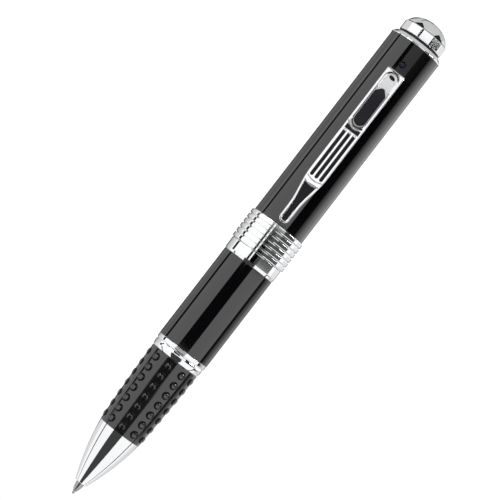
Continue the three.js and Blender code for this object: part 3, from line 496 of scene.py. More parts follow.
def white_room():
    world = bpy.data.worlds.new("white_room")
    world.use_nodes = True
    background = world.node_tree.nodes["Background"]
    background.inputs["Color"].default_value = colour(1, 1, 1)
    background.inputs["Strength"].default_value = ROOM_WHITE
    SCENE.world = world


def stage(name, places, faces, material):
    """A mesh in millimetres that belongs to the stage and not to the pen."""
    mesh = bpy.data.meshes.new(name)
    mesh.from_pydata([Vector(place) * MM for place in places], [], faces)
    mesh.materials.append(material)
    piece = bpy.data.objects.new(name, mesh)
    SCENE.collection.objects.link(piece)
    piece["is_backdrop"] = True
    return piece


def round_the_pen(angle, distance, height):
    """A place at an angle in degrees round the pen, 0 towards the camera and positive to the right."""
    turn = math.radians(angle)
    return (distance * math.sin(turn), -distance * math.cos(turn), height)


def add_floor():
    paint = Finish("pale_floor", {"Specular IOR Level": 0.0})
    worn, fresh = colour(0.93, 0.93, 0.93), colour(0.95, 0.95, 0.95)
    paint.vary("Base Color", paint.blend(paint.grain(60.0), worn, fresh))
    paint.vary("Roughness", 0.9 + 0.05 * paint.grain(5.0))
    sides = 64
    rim = [round_the_pen(360 * i / sides, FLOOR_RADIUS, FLOOR_LEVEL) for i in range(sides)]
    return stage("floor", rim, [tuple(range(sides))], paint.material)


white_room()
print("floor at", round(add_floor().data.vertices[0].co.z / MM, 1), "mm")

# %% Cards
CARD_STEP = 4.0
FRONT = 590.0
SIDE = 400.0
CARD_TOP = 330.0
FLOOR_CARD_START = 22.0
FLOOR_CARD_LIFT = 0.4
CEILING = 400.0
CEILING_HOLE = 200.0
CEILING_REACH = 900.0
CEILING_SECTORS = ((-180, -95, 0.6), (-95, -29, 0.02), (-29, 63, 0.66), (63, 110, 0.02), (110, 180, 0.6))
LAMPS = (-40, 72)
LAMP_HALF = 12
LAMP_DISTANCE = 500.0
LAMP_LOW = 98.0
LAMP_HIGH = 190.0
LAMP_POWER = 9.0


def card_paint():
    """Paint that only glows, with the shade that each corner of a card carries."""
    only_glow = {"Base Color": colour(0, 0, 0), "Specular IOR Level": 0.0, "Emission Strength": 1.0}
    paint = Finish("card", only_glow)
    paint.vary("Emission Color", paint.node("ShaderNodeVertexColor", {"layer_name": "shade"}))
    return paint.material


CARD_PAINT = card_paint()


def card(name, angles, near, far, shades):
    """A curved strip between two rows, each given as (distance, height), fading between two shades."""
    left, right = angles
    steps = max(1, math.ceil((right - left) / CARD_STEP))
    shares = [i / steps for i in range(steps + 1)]
    turns = [left + (right - left) * share for share in shares]
    places = [round_the_pen(turn, *row) for turn in turns for row in (near, far)]
    faces = [(2 * i, 2 * i + 2, 2 * i + 3, 2 * i + 1) for i in range(steps)]
    piece = stage(name, places, faces, CARD_PAINT)
    glow = piece.data.color_attributes.new(name="shade", type="FLOAT_COLOR", domain="POINT")
    for i, share in enumerate(shares):
        shade = shades[0] + (shades[-1] - shades[0]) * share
        glow.data[2 * i].color = colour(shade, shade, shade)
        glow.data[2 * i + 1].color = colour(shade, shade, shade)
    piece.visible_camera = False
    piece.visible_diffuse = False
    piece.visible_shadow = False
    return piece


def lying_card(name, angles, far, *shades):
    height = FLOOR_LEVEL + FLOOR_CARD_LIFT
    return card(name, angles, (FLOOR_CARD_START, height), (far, height), shades)


# %% Cards that each stretch of the pen sees
BEAD_LENGTH = 2.3
STRETCHES = {
    "grip": (None, ends("lower_ring")[0] + BEAD_LENGTH),
    "ring": (ends("lower_ring")[0] + BEAD_LENGTH, ends("lower_ring")[1]),
    "lower": (ends("lower_ring")[1], ends("lower_barrel")[1]),
    "collar": (ends("lower_barrel")[1], ends("centre_collar")[1]),
    "clip": (ends("centre_collar")[1], ends("clip_frame")[1]),
    "top": (ends("clip_frame")[1], ends("crown_flange")[1]),
    "crown": (ends("crown_flange")[1], None),
}


def seen_height(height, distance, end):
    """Where the camera's line of sight meets a card after it glances off the pen's upright wall."""
    if height is None:
        return end
    return height + (height - CAMERA_PLACE.z) * distance / -CAMERA_PLACE.y


def standing_cards(stretches, angles, distance, *shades):
    """Stands one card so that these stretches of the pen, and no others, mirror it."""
    low = seen_height(STRETCHES[stretches[0]][0], distance, FLOOR_LEVEL)
    high = seen_height(STRETCHES[stretches[-1]][1], distance, CARD_TOP)
    name = f"card_{stretches[0]}_{angles[0]:.0f}"
    return card(name, angles, (distance, low), (distance, high), shades)


EVERYWHERE = ("grip", "crown")
FRONT_HALF = ("grip", "lower")
BACK_HALF = ("clip", "top")

standing_cards(("grip",), (-32, 18), FRONT, 0.02)
standing_cards(("lower",), (-27, 22), FRONT, 0.0)
standing_cards(FRONT_HALF, (-101, -89), SIDE, 0.03)
standing_cards(FRONT_HALF, (88, 102), SIDE, 0.03)
standing_cards(FRONT_HALF, (102, 140), SIDE, 0.3, 0.85)
standing_cards(FRONT_HALF, (140, 180), SIDE, 0.6, 0.3)
standing_cards(("collar",), (-100, -88), SIDE, 0.02)
standing_cards(("collar",), (-22, -14), FRONT, 0.03)
standing_cards(("collar",), (-8, 10), FRONT, 0.0)
standing_cards(("collar",), (10, 88), FRONT, 0.05, 0.1)
standing_cards(BACK_HALF, (-93, -84), SIDE, 0.03)
standing_cards(("clip",), (35, 78), FRONT, 0.0)
standing_cards(("top",), (-28, -12), FRONT, 0.0)
standing_cards(("top",), (-12, 35), FRONT, 0.4, 0.34)
standing_cards(("top",), (35, 78), FRONT, 0.06, 0.0)
standing_cards(BACK_HALF, (78, 108), FRONT, 0.2, 1.2)
standing_cards(BACK_HALF, (108, 150), SIDE, 1.2)
standing_cards(("crown",), (-48, 5), FRONT, 0.02)
standing_cards(("crown",), (38, 92), FRONT, 0.05)
standing_cards(("collar",), (108, 150), SIDE, 0.85)
standing_cards(("crown",), (108, 150), SIDE, 0.85)
standing_cards(("collar", "crown"), (150, 180), SIDE, 0.5, 0.35)
standing_cards(EVERYWHERE, (-132, -106), SIDE, 0.6, 0.78)
standing_cards(EVERYWHERE, (-152, -132), SIDE, 0.3, 0.6)
standing_cards(EVERYWHERE, (-180, -152), SIDE, 0.06, 0.12)

# %% Cards on the floor, overhead and small lamps
lying_card("floor_card_centre", (-30, 23), FRONT, 0.05)
lying_card("floor_card_line_left", (-86, -79), SIDE, 0.12)
lying_card("floor_card_line_right", (87, 94), SIDE, 0.12)
lying_card("floor_card_left", (-180, -108), SIDE, 0.55, 0.85)
lying_card("floor_card_right", (108, 180), SIDE, 0.85, 0.55)
for left, right, shade in CEILING_SECTORS:
    card(f"ceiling_{left}", (left, right), (CEILING_HOLE, CEILING), (CEILING_REACH, CEILING), (shade,))
card("ceiling_middle", (-180, 180), (1, CEILING), (CEILING_HOLE, CEILING), (0.62,))
for turn in LAMPS:
    card(f"lamp_{turn}", (turn - LAMP_HALF, turn + LAMP_HALF), (LAMP_DISTANCE, LAMP_LOW),
         (LAMP_DISTANCE, LAMP_HIGH), (LAMP_POWER,))

# %% [markdown]
# ## Shape tools
# Most of the pen is turned on a lathe, and the clip is pressed from plate, so two tools make nearly
# every piece. `turned` spins an outline round the pen's axis. `extruded` fills flat outlines, holes
# included, and gives them thickness and round edges, which Blender's 2D curves do well. Edges are what
# the eye reads on polished metal: `eased` turns each corner of a lathe outline into a small curve, and
# puts a point beside it, so that smooth shading doesn't bend the straight stretch next to it. Meshes
# are worked out in millimetres and scaled once, when a piece is fitted.

# %% Outlines
FINE_SIDES = 144
SHARP_ANGLE = math.radians(32)


def eased(corners, steps=4, hold=0.05):
    """Outline points from corners (radius, height, ease); a corner without ease stays sharp."""
    points = []
    for i, corner in enumerate(corners):
        here = Vector(corner[:2])
        if len(corner) < 3:
            points.append(here)
            continue
        ease = corner[2]
        back = (Vector(corners[i - 1][:2]) - here).normalized()
        ahead = (Vector(corners[(i + 1) % len(corners)][:2]) - here).normalized()
        points.append(here + back * (ease + hold))
        for step in range(steps + 1):
            t = step / steps
            points.append(here + back * ease * (1 - t) ** 2 + ahead * ease * t ** 2)
        points.append(here + ahead * (ease + hold))
    return points


def bulged(start, end, bulge, steps=12):
    """Points from start to end on a curve that stands this far proud of the straight line."""
    start = Vector(start)
    chord = Vector(end) - start
    outward = Vector((chord.y, -chord.x)).normalized()
    return [
        tuple(start + chord * (i / steps) + outward * 4 * bulge * (i / steps) * (1 - i / steps))
        for i in range(steps + 1)
    ]


def arc(centre, radius, start, end, steps=12):
    """Points on an arc between two angles in degrees, counted from +X towards +Y."""
    turns = [math.radians(start + (end - start) * i / steps) for i in range(steps + 1)]
    return [(centre[0] + radius * math.cos(t), centre[1] + radius * math.sin(t)) for t in turns]


def round_box(left, right, low, high, corner, steps=5):
    """A rectangle with round corners."""
    places = ((right, low, -90), (right, high, 0), (left, high, 90), (left, low, 180))
    points = []
    for x, y, start in places:
        inward_x = math.copysign(corner, left + right - 2 * x)
        inward_y = math.copysign(corner, low + high - 2 * y)
        points += arc((x + inward_x, y + inward_y), corner, start, start + 90, steps)
    return points


# %% Meshes from outlines
def to_mesh(work):
    bmesh.ops.remove_doubles(work, verts=work.verts, dist=1e-5)
    bmesh.ops.recalc_face_normals(work, faces=work.faces)
    mesh = bpy.data.meshes.new("shape")
    work.to_mesh(mesh)
    work.free()
    return mesh


def skin(rings, closed):
    """Faces between rings of equal length. A ring of one place is a tip."""
    work = bmesh.new()
    rows = [[work.verts.new(place) for place in ring] for ring in rings]
    pairs = list(zip(rows, rows[1:]))
    if closed:
        pairs.append((rows[-1], rows[0]))
    for lower, upper in pairs:
        count = max(len(lower), len(upper))
        for i in range(count):
            j = (i + 1) % count
            corners = [ring[k % len(ring)] for ring, k in ((lower, i), (lower, j), (upper, j), (upper, i))]
            distinct = list(dict.fromkeys(corners))
            if len(distinct) > 2:
                work.faces.new(distinct)
    return to_mesh(work)


def turned(outline, sides=FINE_SIDES):
    """A mesh turned about Z. An outline that starts and ends on the axis makes a solid, any other a ring."""
    on_axis = abs(outline[0][0]) < 1e-6 and abs(outline[-1][0]) < 1e-6
    rings = []
    for radius, height in outline:
        count = 1 if radius < 1e-6 else sides
        turns = [2 * math.pi * i / sides for i in range(count)]
        rings.append([(radius * math.sin(t), -radius * math.cos(t), height) for t in turns])
    return skin(rings, closed=not on_axis)


def settled(thing):
    """The mesh of an object or curve with its modifiers applied."""
    SCENE.collection.objects.link(thing)
    bpy.context.view_layer.update()
    mesh = bpy.data.meshes.new_from_object(thing.evaluated_get(bpy.context.evaluated_depsgraph_get()))
    bpy.data.objects.remove(thing)
    return mesh


def extruded(outlines, low, high, ease=0.0):
    """Flat outlines in XY filled between two heights. Outlines inside others are holes."""
    curve = bpy.data.curves.new("outline", "CURVE")
    curve.dimensions = "2D"
    curve.fill_mode = "BOTH"
    curve.extrude = (high - low) / 2 - ease
    curve.bevel_depth = ease
    curve.bevel_resolution = 3
    curve.offset = -ease
    for outline in outlines:
        spline = curve.splines.new("POLY")
        spline.points.add(len(outline) - 1)
        for point, place in zip(spline.points, outline):
            point.co = (*place[:2], 0, 1)
        spline.use_cyclic_u = True
    mesh = settled(bpy.data.objects.new("outline", curve))
    mesh.transform(Matrix.Translation((0, 0, (low + high) / 2)))
    work = bmesh.new()
    work.from_mesh(mesh)
    return to_mesh(work)


def tube(places, radius, closed=False):
    """A round bar along a list of places."""
    curve = bpy.data.curves.new("bar", "CURVE")
    curve.dimensions = "3D"
    curve.bevel_depth = radius
    curve.bevel_resolution = 3
    curve.use_fill_caps = True
    spline = curve.splines.new("POLY")
    spline.points.add(len(places) - 1)
    for point, place in zip(spline.points, places):
        point.co = (*place, 1)
    spline.use_cyclic_u = closed
    mesh = settled(bpy.data.objects.new("bar", curve))
    work = bmesh.new()
    work.from_mesh(mesh)
    return to_mesh(work)


# %% Turning, joining and cutting
def facing(mesh, height=0.0):
    """Turns a shape so that its Z axis points at the camera and its Y axis points up."""
    mesh.transform(Matrix.Translation((0, 0, height)) @ Matrix.Rotation(math.pi / 2, 4, "X"))
    return mesh


def moved(mesh, matrix):
    mesh.transform(matrix)
    return mesh


def joined(*meshes):
    work = bmesh.new()
    for mesh in meshes:
        work.from_mesh(mesh)
    mesh = bpy.data.meshes.new("shape")
    work.to_mesh(mesh)
    work.free()
    return mesh


def cut(mesh, *tools):
    """The mesh with all the tools taken away."""
    body = bpy.data.objects.new("body", mesh)
    helpers = []
    for tool in tools:
        helper = bpy.data.objects.new("tool", tool)
        SCENE.collection.objects.link(helper)
        helpers.append(helper)
        modifier = body.modifiers.new("cut", "BOOLEAN")
        modifier.operation = "DIFFERENCE"
        modifier.solver = "EXACT"
        modifier.object = helper
    result = settled(body)
    for helper in helpers:
        bpy.data.objects.remove(helper)
    return result


# %% [markdown]
# ## Fitting a piece
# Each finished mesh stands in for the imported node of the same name: it takes that node's body, so that
# it moves with it, and that node's finish from the record. A weighted-normal modifier gives flat faces
# their own true direction, so that only the narrow round edges shade as curves. Without it, a polished
# flat next to a round edge would look dented.

# %% Fitting
def fit(node, mesh, name=None, weighted=False, also=()):
    """Fits a mesh in millimetres in a node's place, on its body and with its finish."""
    mesh.transform(Matrix.Scale(MM, 4))
    mesh.shade_smooth()
    mesh.set_sharp_from_angle(angle=SHARP_ANGLE)
    mesh.materials.clear()
    mesh.materials.append(FINISHES[SLOT_OF[node]].material)
    piece = bpy.data.objects.new(name or f"fine_{node}", mesh)
    SCENE.collection.objects.link(piece)
    if weighted:
        modifier = piece.modifiers.new("flat faces", "WEIGHTED_NORMAL")
        modifier.keep_sharp = True
    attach(piece, BODY_OF[node])
    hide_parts(node, *also)
    print(f"{piece.name}: {len(mesh.polygons)} faces, rides on {BODY_OF[node]}")
    return piece


# %% [markdown]
# ## Barrels
# Both barrels are plain brass tubes with lacquer over them, so each is one outline turned round the
# axis, with its ends eased where the lacquer thins. The upper one has a hole for the lens. A Boolean
# cuts it, and then the walls get back the normals of a true cylinder, because the cut leaves long
# uneven faces beside the hole and the lacquer would show each of them.

# %% Lower and upper barrel
BARREL_EASE = 0.12
BARREL_RADIUS = outer_radius("upper_barrel")
LOWER_WALL = 0.55
UPPER_WALL = 0.6
LENS_HOLE_RADIUS = 0.97


def tube_outline(inner, outer, low, high, ease):
    return eased([(inner, low), (outer, low, ease), (outer, high, ease), (inner, high)])


def cylinder_normals(mesh):
    """Gives faces of the inner and outer wall the normals of a true cylinder."""
    normals = []
    for face in mesh.polygons:
        for loop in face.loop_indices:
            place = mesh.vertices[mesh.loops[loop].vertex_index].co
            outward = Vector((place.x, place.y, 0)).normalized()
            side = outward.dot(face.normal)
            if abs(side) > 0.99:
                normals.append(outward * math.copysign(1, side))
            else:
                normals.append(mesh.corner_normals[loop].vector.copy())
    mesh.normals_split_custom_set(normals)


def upper_barrel():
    low, high = ends("upper_barrel")
    tube_mesh = turned(tube_outline(BARREL_RADIUS - UPPER_WALL, BARREL_RADIUS, low, high, BARREL_EASE))
    drill = facing(turned([(0, 5), (LENS_HOLE_RADIUS, 5), (LENS_HOLE_RADIUS, 9), (0, 9)], 48), LENS_LEVEL)
    piece = fit("upper_barrel", cut(tube_mesh, drill))
    cylinder_normals(piece.data)
    return piece


lower_low, lower_high = ends("lower_barrel")
fit("lower_barrel", turned(tube_outline(
    BARREL_RADIUS - LOWER_WALL, BARREL_RADIUS, lower_low, lower_high, BARREL_EASE)))
upper_barrel()

# %% [markdown]
# ## Rings, collar and nose
# These are turned from bar and plated. The collar is six lands with narrow grooves between them, made
# by a loop. The band under it has a wide chamfer that catches the light. The ring behind the grip is a
# bead with a step, and the nose is a slightly bulged cone whose bore lets the nib through.

# %% Chrome rings
GROOVE_WIDTH = 0.4
GROOVE_DEPTH = 0.4
LANDS = 6
LAND_EASE = 0.09


def centre_collar():
    low, high = ends("centre_collar")
    radius = outer_radius("centre_collar")
    inner = outer_radius("spigot") - 0.2
    pitch = (high - low) / LANDS
    corners = [(inner, low), (radius - GROOVE_DEPTH, low)]
    for i in range(LANDS):
        land_low = low + i * pitch + GROOVE_WIDTH / 2
        land_high = land_low + pitch - GROOVE_WIDTH
        corners += [
            (radius - GROOVE_DEPTH, land_low, 0.05),
            (radius, land_low, LAND_EASE),
            (radius, land_high, LAND_EASE),
            (radius - GROOVE_DEPTH, land_high, 0.05),
        ]
    corners += [(radius - GROOVE_DEPTH, high), (inner, high)]
    return fit("centre_collar", turned(eased(corners, steps=3, hold=0.02)))


def lower_band():
    low, high = ends("lower_band")
    radius = outer_radius("lower_band")
    front = ends("lower_barrel")[1]
    sleeve = BARREL_RADIUS - LOWER_WALL * 0.6
    inner = BARREL_RADIUS - LOWER_WALL
    return fit("lower_band", turned(eased([
        (inner, low),
        (sleeve, low),
        (sleeve, front),
        (BARREL_RADIUS - 0.05, front, 0.03),
        (radius, front + 0.7, 0.08),
        (radius, high, 0.12),
        (inner, high),
    ])))


BEAD_RADIUS = 6.88


RING_BORE = 5.55


def lower_ring():
    low, high = ends("lower_ring")
    radius = outer_radius("lower_ring")
    inner = RING_BORE
    bead = bulged((BEAD_RADIUS - 0.12, low + 0.08), (BEAD_RADIUS + 0.04, low + BEAD_LENGTH - 0.25), 0.24, 14)
    step = [(*corner, 0.1) for corner in ((radius, low + BEAD_LENGTH + 0.05), (radius, high - 0.02))]
    outline = eased([(inner, low), bead[0], *bead[1:], *step, (inner, high)])
    return fit("lower_ring", turned(outline))


CONE_MOUTH_RADIUS = 1.7
CONE_MOUTH_BORE = 1.35
CONE_BULGE = 0.51
CONE_LENGTH = 15.8
CONE_NECK_RADIUS = 4.55
CONE_BACK_BORE = 3.5
CONE_BORE = 1.9


def nose_cone():
    low, high = ends("nose_cone")
    radius = outer_radius("nose_cone")
    back = low + CONE_LENGTH
    flank = bulged((CONE_MOUTH_RADIUS, low), (radius, back), CONE_BULGE, 40)
    mouth = [(CONE_MOUTH_BORE, low, 0.1), (CONE_MOUTH_RADIUS, low, 0.12)]
    lip = eased([(CONE_MOUTH_BORE, low + 1), *mouth, flank[2]])
    return fit("nose_cone", turned([
        (CONE_MOUTH_BORE, low + 4.2),
        *lip[:-1],
        *flank[2:],
        (CONE_NECK_RADIUS, back),
        (CONE_NECK_RADIUS, high),
        (CONE_BACK_BORE, high),
        (CONE_BORE, high - 2),
        (CONE_BORE, low + 5),
    ]))


for make in (centre_collar, lower_band, lower_ring, nose_cone):
    make()

# %% [markdown]
# ## Rubber grip
# The sleeve is moulded rubber with ten rows of seven round domes. The domes are true spherical caps
# that stand in the sleeve's wall, so each has a crisp foot, as a mould gives it. A displaced grid would
# need far more faces for the same edge. A loop sets the caps out, and the first row sits a little to
# the left of the camera's line.

# %% Grip sleeve
GRIP_FRONT_RADIUS = 5.9
GRIP_BACK_RADIUS = 6.85
GRIP_BULGE = 0.12
GRIP_BORE = 5.23
DOME_ROWS = 10
DOMES_PER_ROW = 7
DOME_PITCH = 3.1
DOME_RADIUS = 1.14
DOME_HEIGHT = 0.38
DOME_FOOT = 0.3
DOME_SIDE = (0.08, 0.72)
FIRST_ROW_ANGLE = -3.0


def grip_radius(share):
    """The sleeve's radius at a share of its length from the nose."""
    straight = GRIP_FRONT_RADIUS + (GRIP_BACK_RADIUS - GRIP_FRONT_RADIUS) * share
    return straight + 4 * GRIP_BULGE * share * (1 - share)


def dome(base):
    """A spherical cap on a short foot, standing on a plane at this distance from the axis."""
    ball = (DOME_RADIUS ** 2 + DOME_HEIGHT ** 2) / (2 * DOME_HEIGHT)
    widest = math.asin(DOME_RADIUS / ball)
    steps = 6
    cap = [
        (ball * math.sin(widest * i / steps), base + DOME_HEIGHT - ball * (1 - math.cos(widest * i / steps)))
        for i in range(steps, 0, -1)
    ]
    return turned([(0, base - DOME_FOOT), (DOME_RADIUS, base - DOME_FOOT), *cap, (0, base + DOME_HEIGHT)], 28)


def polish_domes():
    """Lets only the walls and the tips of the domes shine. The domes' sides stay matte."""
    finish = FINISHES["black_rubber"]
    low, high = ends("grip_sleeve")
    share = (finish.axis(finish.place(), "Z") / MM - low) / (high - low)
    rise = finish.length(finish.moved(by=(0, 0, 0), scale=(1, 1, 0))) / MM - grip_radius(share)
    wall = rise < DOME_SIDE[0] * DOME_HEIGHT
    tip = rise > DOME_SIDE[1] * DOME_HEIGHT
    finish.vary("Coat Weight", wall + tip)


def grip_sleeve():
    low, high = ends("grip_sleeve")
    length = high - low
    steps = 24
    wall = [(grip_radius(i / steps), low + length * i / steps) for i in range(steps + 1)]
    front = eased([(GRIP_BORE, low), (*wall[0], 0.15), wall[1]])[1:-1]
    back = eased([wall[-2], (*wall[-1], 0.15), (GRIP_BORE, high)])[1:-1]
    parts = [turned([(GRIP_BORE, low), *front, *wall[1:-1], *back, (GRIP_BORE, high)])]
    first = (length - DOME_PITCH * (DOMES_PER_ROW - 1)) / 2
    for row in range(DOME_ROWS):
        turn = Matrix.Rotation(math.radians(FIRST_ROW_ANGLE + 360 * row / DOME_ROWS), 4, "Z")
        for i in range(DOMES_PER_ROW):
            along = first + i * DOME_PITCH
            cap = facing(dome(grip_radius(along / length)), low + along)
            parts.append(moved(cap, turn))
    return fit("grip_sleeve", joined(*parts))


polish_domes()
grip_sleeve()

# %% [markdown]
# ## Nib
# The refill ends in a turned steel nib that holds a ball. The ball shows as a small round end past a
# spun-over rim. Both are turned from short outlines with plenty of sides, since the nib is what the eye
# follows the cone to.

# %% Nib and ball
def refill_nib():
    low, high = ends("refill_nib")
    radius = outer_radius("refill_nib")
    seat = outer_radius("refill_ball") + 0.06
    nose = bulged((seat + 0.06, low + 0.05), (radius, low + 2.7), 0.13, 14)
    return fit("refill_nib", turned([
        (0, low + 0.1),
        (seat - 0.06, low + 0.1),
        (seat - 0.02, low),
        (seat + 0.03, low),
        *nose,
        (radius, low + 2.76),
        (radius - 0.08, low + 2.8),
        (radius - 0.08, low + 2.95),
        (radius, low + 3.0),
        (radius, high),
        (0, high),
    ], 64))


def refill_ball():
    low, high = ends("refill_ball")
    radius = outer_radius("refill_ball")
    steps = 10
    middle = low + radius
    half = [
        (radius * math.sin(math.pi * i / steps), middle - radius * math.cos(math.pi * i / steps))
        for i in range(1, steps)
    ]
    shank = [(radius * 0.5, high + 0.2), (0, high + 0.2)]
    return fit("refill_ball", turned([(0, low), *half[:-2], *shank], 40))


refill_nib()
refill_ball()

# %% [markdown]
# ## Crown button
# The top of the pen is the camera's button. Its lower part has twelve flats with narrow bevels between
# them, and its dome has one soft lobe for each flat. A lathe can't make flats, so the outline round the
# pen is worked out first: on a flat, the radius grows as one over the cosine of the angle from the
# flat's middle, and it stops short of the corner, which leaves a bevel. The same angles are then used
# at every height, from the polygon below to the lobes above.

# %% Crown
CROWN_SIDES = 12
HALF_FLAT = 180 / CROWN_SIDES
BEVEL_START = 12.6
FLAT_SAMPLES = (-12.6, -12.0, -9.0, -6.0, -3.0, 0.0, 3.0, 6.0, 9.0, 12.0, 12.6, 15.0)
LOBE_DEPTH = 0.075
CROWN_TURN = 3.0
CROWN_BODY = 2.8
FLANGE_TOP_RADIUS = BARREL_RADIUS - 0.65
FLANGE_BORE = 4.0


def crown_ring(apothem, height, lobes=0.0):
    """Places round the crown: a twelve-sided ring, or a lobed one when lobes is above 0."""
    places = []
    for side in range(CROWN_SIDES):
        for offset in FLAT_SAMPLES:
            local = math.radians(offset)
            flat = apothem / math.cos(math.radians(min(abs(offset), BEVEL_START)))
            valley = math.sin(math.pi / 2 * abs(offset) / HALF_FLAT) ** 4
            radius = flat * (1 - lobes * valley)
            turn = math.radians(CROWN_TURN) + 2 * math.pi * side / CROWN_SIDES + local
            places.append((radius * math.sin(turn), -radius * math.cos(turn), height))
    return places


def button_crown():
    low, high = ends("button_crown")
    apothem = outer_radius("button_crown") * math.cos(math.pi / CROWN_SIDES)
    shoulder = low + CROWN_BODY
    dome_height = high - shoulder - 0.12
    body = (
        (0.93, low), (0.955, low + 0.01), (0.985, low + 0.1), (1.0, low + 0.24), (1.0, low + 0.3),
        (1.0, shoulder - 0.28), (1.0, shoulder - 0.22), (0.985, shoulder - 0.08), (0.962, shoulder - 0.01),
        (0.945, shoulder), (0.915, shoulder - 0.14), (0.895, shoulder - 0.16), (0.885, shoulder - 0.04),
    )
    rings = [[(0, 0, low)]]
    rings += [crown_ring(apothem * share, height) for share, height in body]
    steps = 16
    for i in range(steps):
        climb = math.radians(8 + 82 * i / steps)
        share = math.cos(climb) * 0.955
        rise = math.sin(climb)
        lobes = LOBE_DEPTH * min(1, 3.5 * i / steps) * (1 - (i / steps) ** 3)
        height = shoulder + 0.12 + dome_height * (rise - 0.139) / 0.861
        rings.append(crown_ring(apothem * share, height, lobes))
    rings.append([(0, 0, high)])
    return fit("button_crown", skin(rings, closed=False))


def crown_flange():
    low = ends("upper_barrel")[1]
    high = ends("crown_flange")[1]
    lip = outer_radius("crown_flange")
    bore = FLANGE_BORE
    neck = outer_radius("button_stem") + 0.15
    return fit("crown_flange", turned(eased([
        (bore, low),
        (BARREL_RADIUS - 0.1, low),
        (lip, low + 0.02, 0.03),
        (lip, low + 0.3, 0.06),
        (FLANGE_TOP_RADIUS, high, 0.06),
        (neck, high, 0.05),
        (neck, high - 0.7),
        (bore, high - 0.7),
    ])))


STEM_FOOT_RADIUS = 1.6
STEM_FOOT_LENGTH = 0.45


def button_stem():
    low, high = ends("button_stem")
    radius = outer_radius("button_stem")
    step = low + STEM_FOOT_LENGTH
    upper = [(STEM_FOOT_RADIUS, step), (radius, step, 0.06), (radius, high), (0, high)]
    return fit("button_stem", turned([
        (0, low),
        (STEM_FOOT_RADIUS, low),
        *[tuple(p) for p in eased(upper)],
    ]))


button_crown()
crown_flange()
button_stem()

# %% [markdown]
# ## Lens
# The lens window is a black ring with a small domed glass inside. The ring stands a little proud of the
# barrel and has eased edges, so that it shows as a fine bright line. Both are turned about the lens's
# own axis and then faced to the camera.

# %% Lens bezel and glass
def distances(node):
    """How far a node's near and far sides are from the pen's axis, towards the camera."""
    low, high = ends(node, Y)
    return -high, -low


def lens_bezel():
    near, far = distances("lens_bezel")
    outer = outer_radius("lens_bezel")
    inner = outer - 0.24
    return fit("lens_bezel", facing(turned(eased([
        (inner, near),
        (outer, near),
        (outer, far, 0.05),
        (inner + 0.04, far - 0.02, 0.05),
        (inner, far - 0.3),
    ]), 64), LENS_LEVEL))


def front_lens():
    near, far = distances("front_lens")
    edge = near + 0.12
    steps = 10
    climb = [math.pi / 2 * i / steps for i in range(steps)]
    dome_points = [(LENS_RADIUS * math.cos(t), edge + (far - edge) * math.sin(t)) for t in climb]
    return fit("front_lens", facing(turned([
        (0, near),
        (LENS_RADIUS, near),
        *dome_points,
        (0, far),
    ], 64), LENS_LEVEL))


lens_bezel()
front_lens()

# %% [markdown]
# ## Pocket clip
# The clip is a pressed and plated bar. A window in its tail holds a black inlay, three round-ended
# flutes are cut along its middle, and a slot above them holds the lens shutter. The bar comes from one
# flat outline with holes in it and large round edges, which give the narrow rails their wire-like
# highlight. The flutes are cut with three round-ended tools, as a ball-nosed cutter would. A black
# filling in each flute is a painted dark reflection, and a black patch on the flat between the flutes
# and the slot's rim is painted shade. Raised wires mark the cross bar and the slot's lower end.

# %% Clip dimensions
CLIP_LOW, CLIP_HIGH = ends("clip_frame")
CLIP_FAR = distances("clip_frame")[1]
CLIP_THICKNESS = 1.2
CLIP_INNER = CLIP_FAR - CLIP_THICKNESS
CLIP_HALF = (ends("clip_frame", X)[1] - ends("clip_frame", X)[0]) / 2
TAIL_HALF = 1.4
RAIL = 0.65
CLIP_EASE = 0.24
SLOT_TOP = CLIP_HIGH - 0.6
SLOT_BOTTOM = SLOT_TOP - 16.5
SLOT_HALF = 1.85
SLOT_CORNER = 1.4
FLUTE_RADIUS = 0.5
FLUTE_DEPTH = 0.32
FLUTE_PITCH = 1.42
FLUTE_LENGTH = 14.4
FLUTE_HIGH = SLOT_BOTTOM - 1.55
FLUTE_LOW = FLUTE_HIGH - FLUTE_LENGTH
FLUTE_PLACES = (-FLUTE_PITCH, 0, FLUTE_PITCH)
PAINTED_DARK_DEPTH = 0.1
BAR_LENGTH = 1.85
BAR_LOW = FLUTE_LOW - BAR_LENGTH
BAR_BULGE = 0.5
TAPER_HIGH = FLUTE_LOW + 1.15
TAPER_LOW = TAPER_HIGH - 10
TONGUE_HALF = 1.6
TONGUE_NEAR, TONGUE_FAR = distances("shutter_plate")
TONGUE_TOP = ends("shutter_plate")[1]
TONGUE_ROOM = 0.1
STUD_RADIUS = 0.33
RIM_RADIUS = 0.36
RIM_GAP = 0.26


def clip_half_width(height):
    share = min(max((height - TAPER_LOW) / (TAPER_HIGH - TAPER_LOW), 0), 1)
    return TAIL_HALF + (CLIP_HALF - TAIL_HALF) * share * share * (3 - 2 * share)


def clip_outline(inset, low, high, dip=0.0, corner=0.0):
    """The clip's outline drawn this much inside its edge. Its top edge may dip towards the nib."""
    tail = TAIL_HALF - inset
    steps = 28
    side = [low + tail + (high - corner - low - tail) * i / steps for i in range(1, steps + 1)]
    right = [(clip_half_width(height) - inset, height) for height in side]
    half = right[-1][0]
    if corner:
        top = arc((half - corner, high - corner), corner, 0, 90, 5)[1:]
        top += [(-x, height) for x, height in reversed(top)]
        top += [(-half, high - corner)]
    else:
        top = [(half * (1 - 2 * i / 16), high - dip * (1 - (1 - i / 8) ** 2)) for i in range(1, 16)]
    left = [(-x, height) for x, height in reversed(right)]
    return arc((0, low + tail), tail, 180, 360, 14) + right + top + left[1 if corner else 0:]


def slot_outline(half, low, high, corner):
    return (
        arc((0, low + half), half, 180, 360, 18)
        + arc((half - corner, high - corner), corner, 0, 90, 8)
        + arc((corner - half, high - corner), corner, 90, 180, 8)
    )


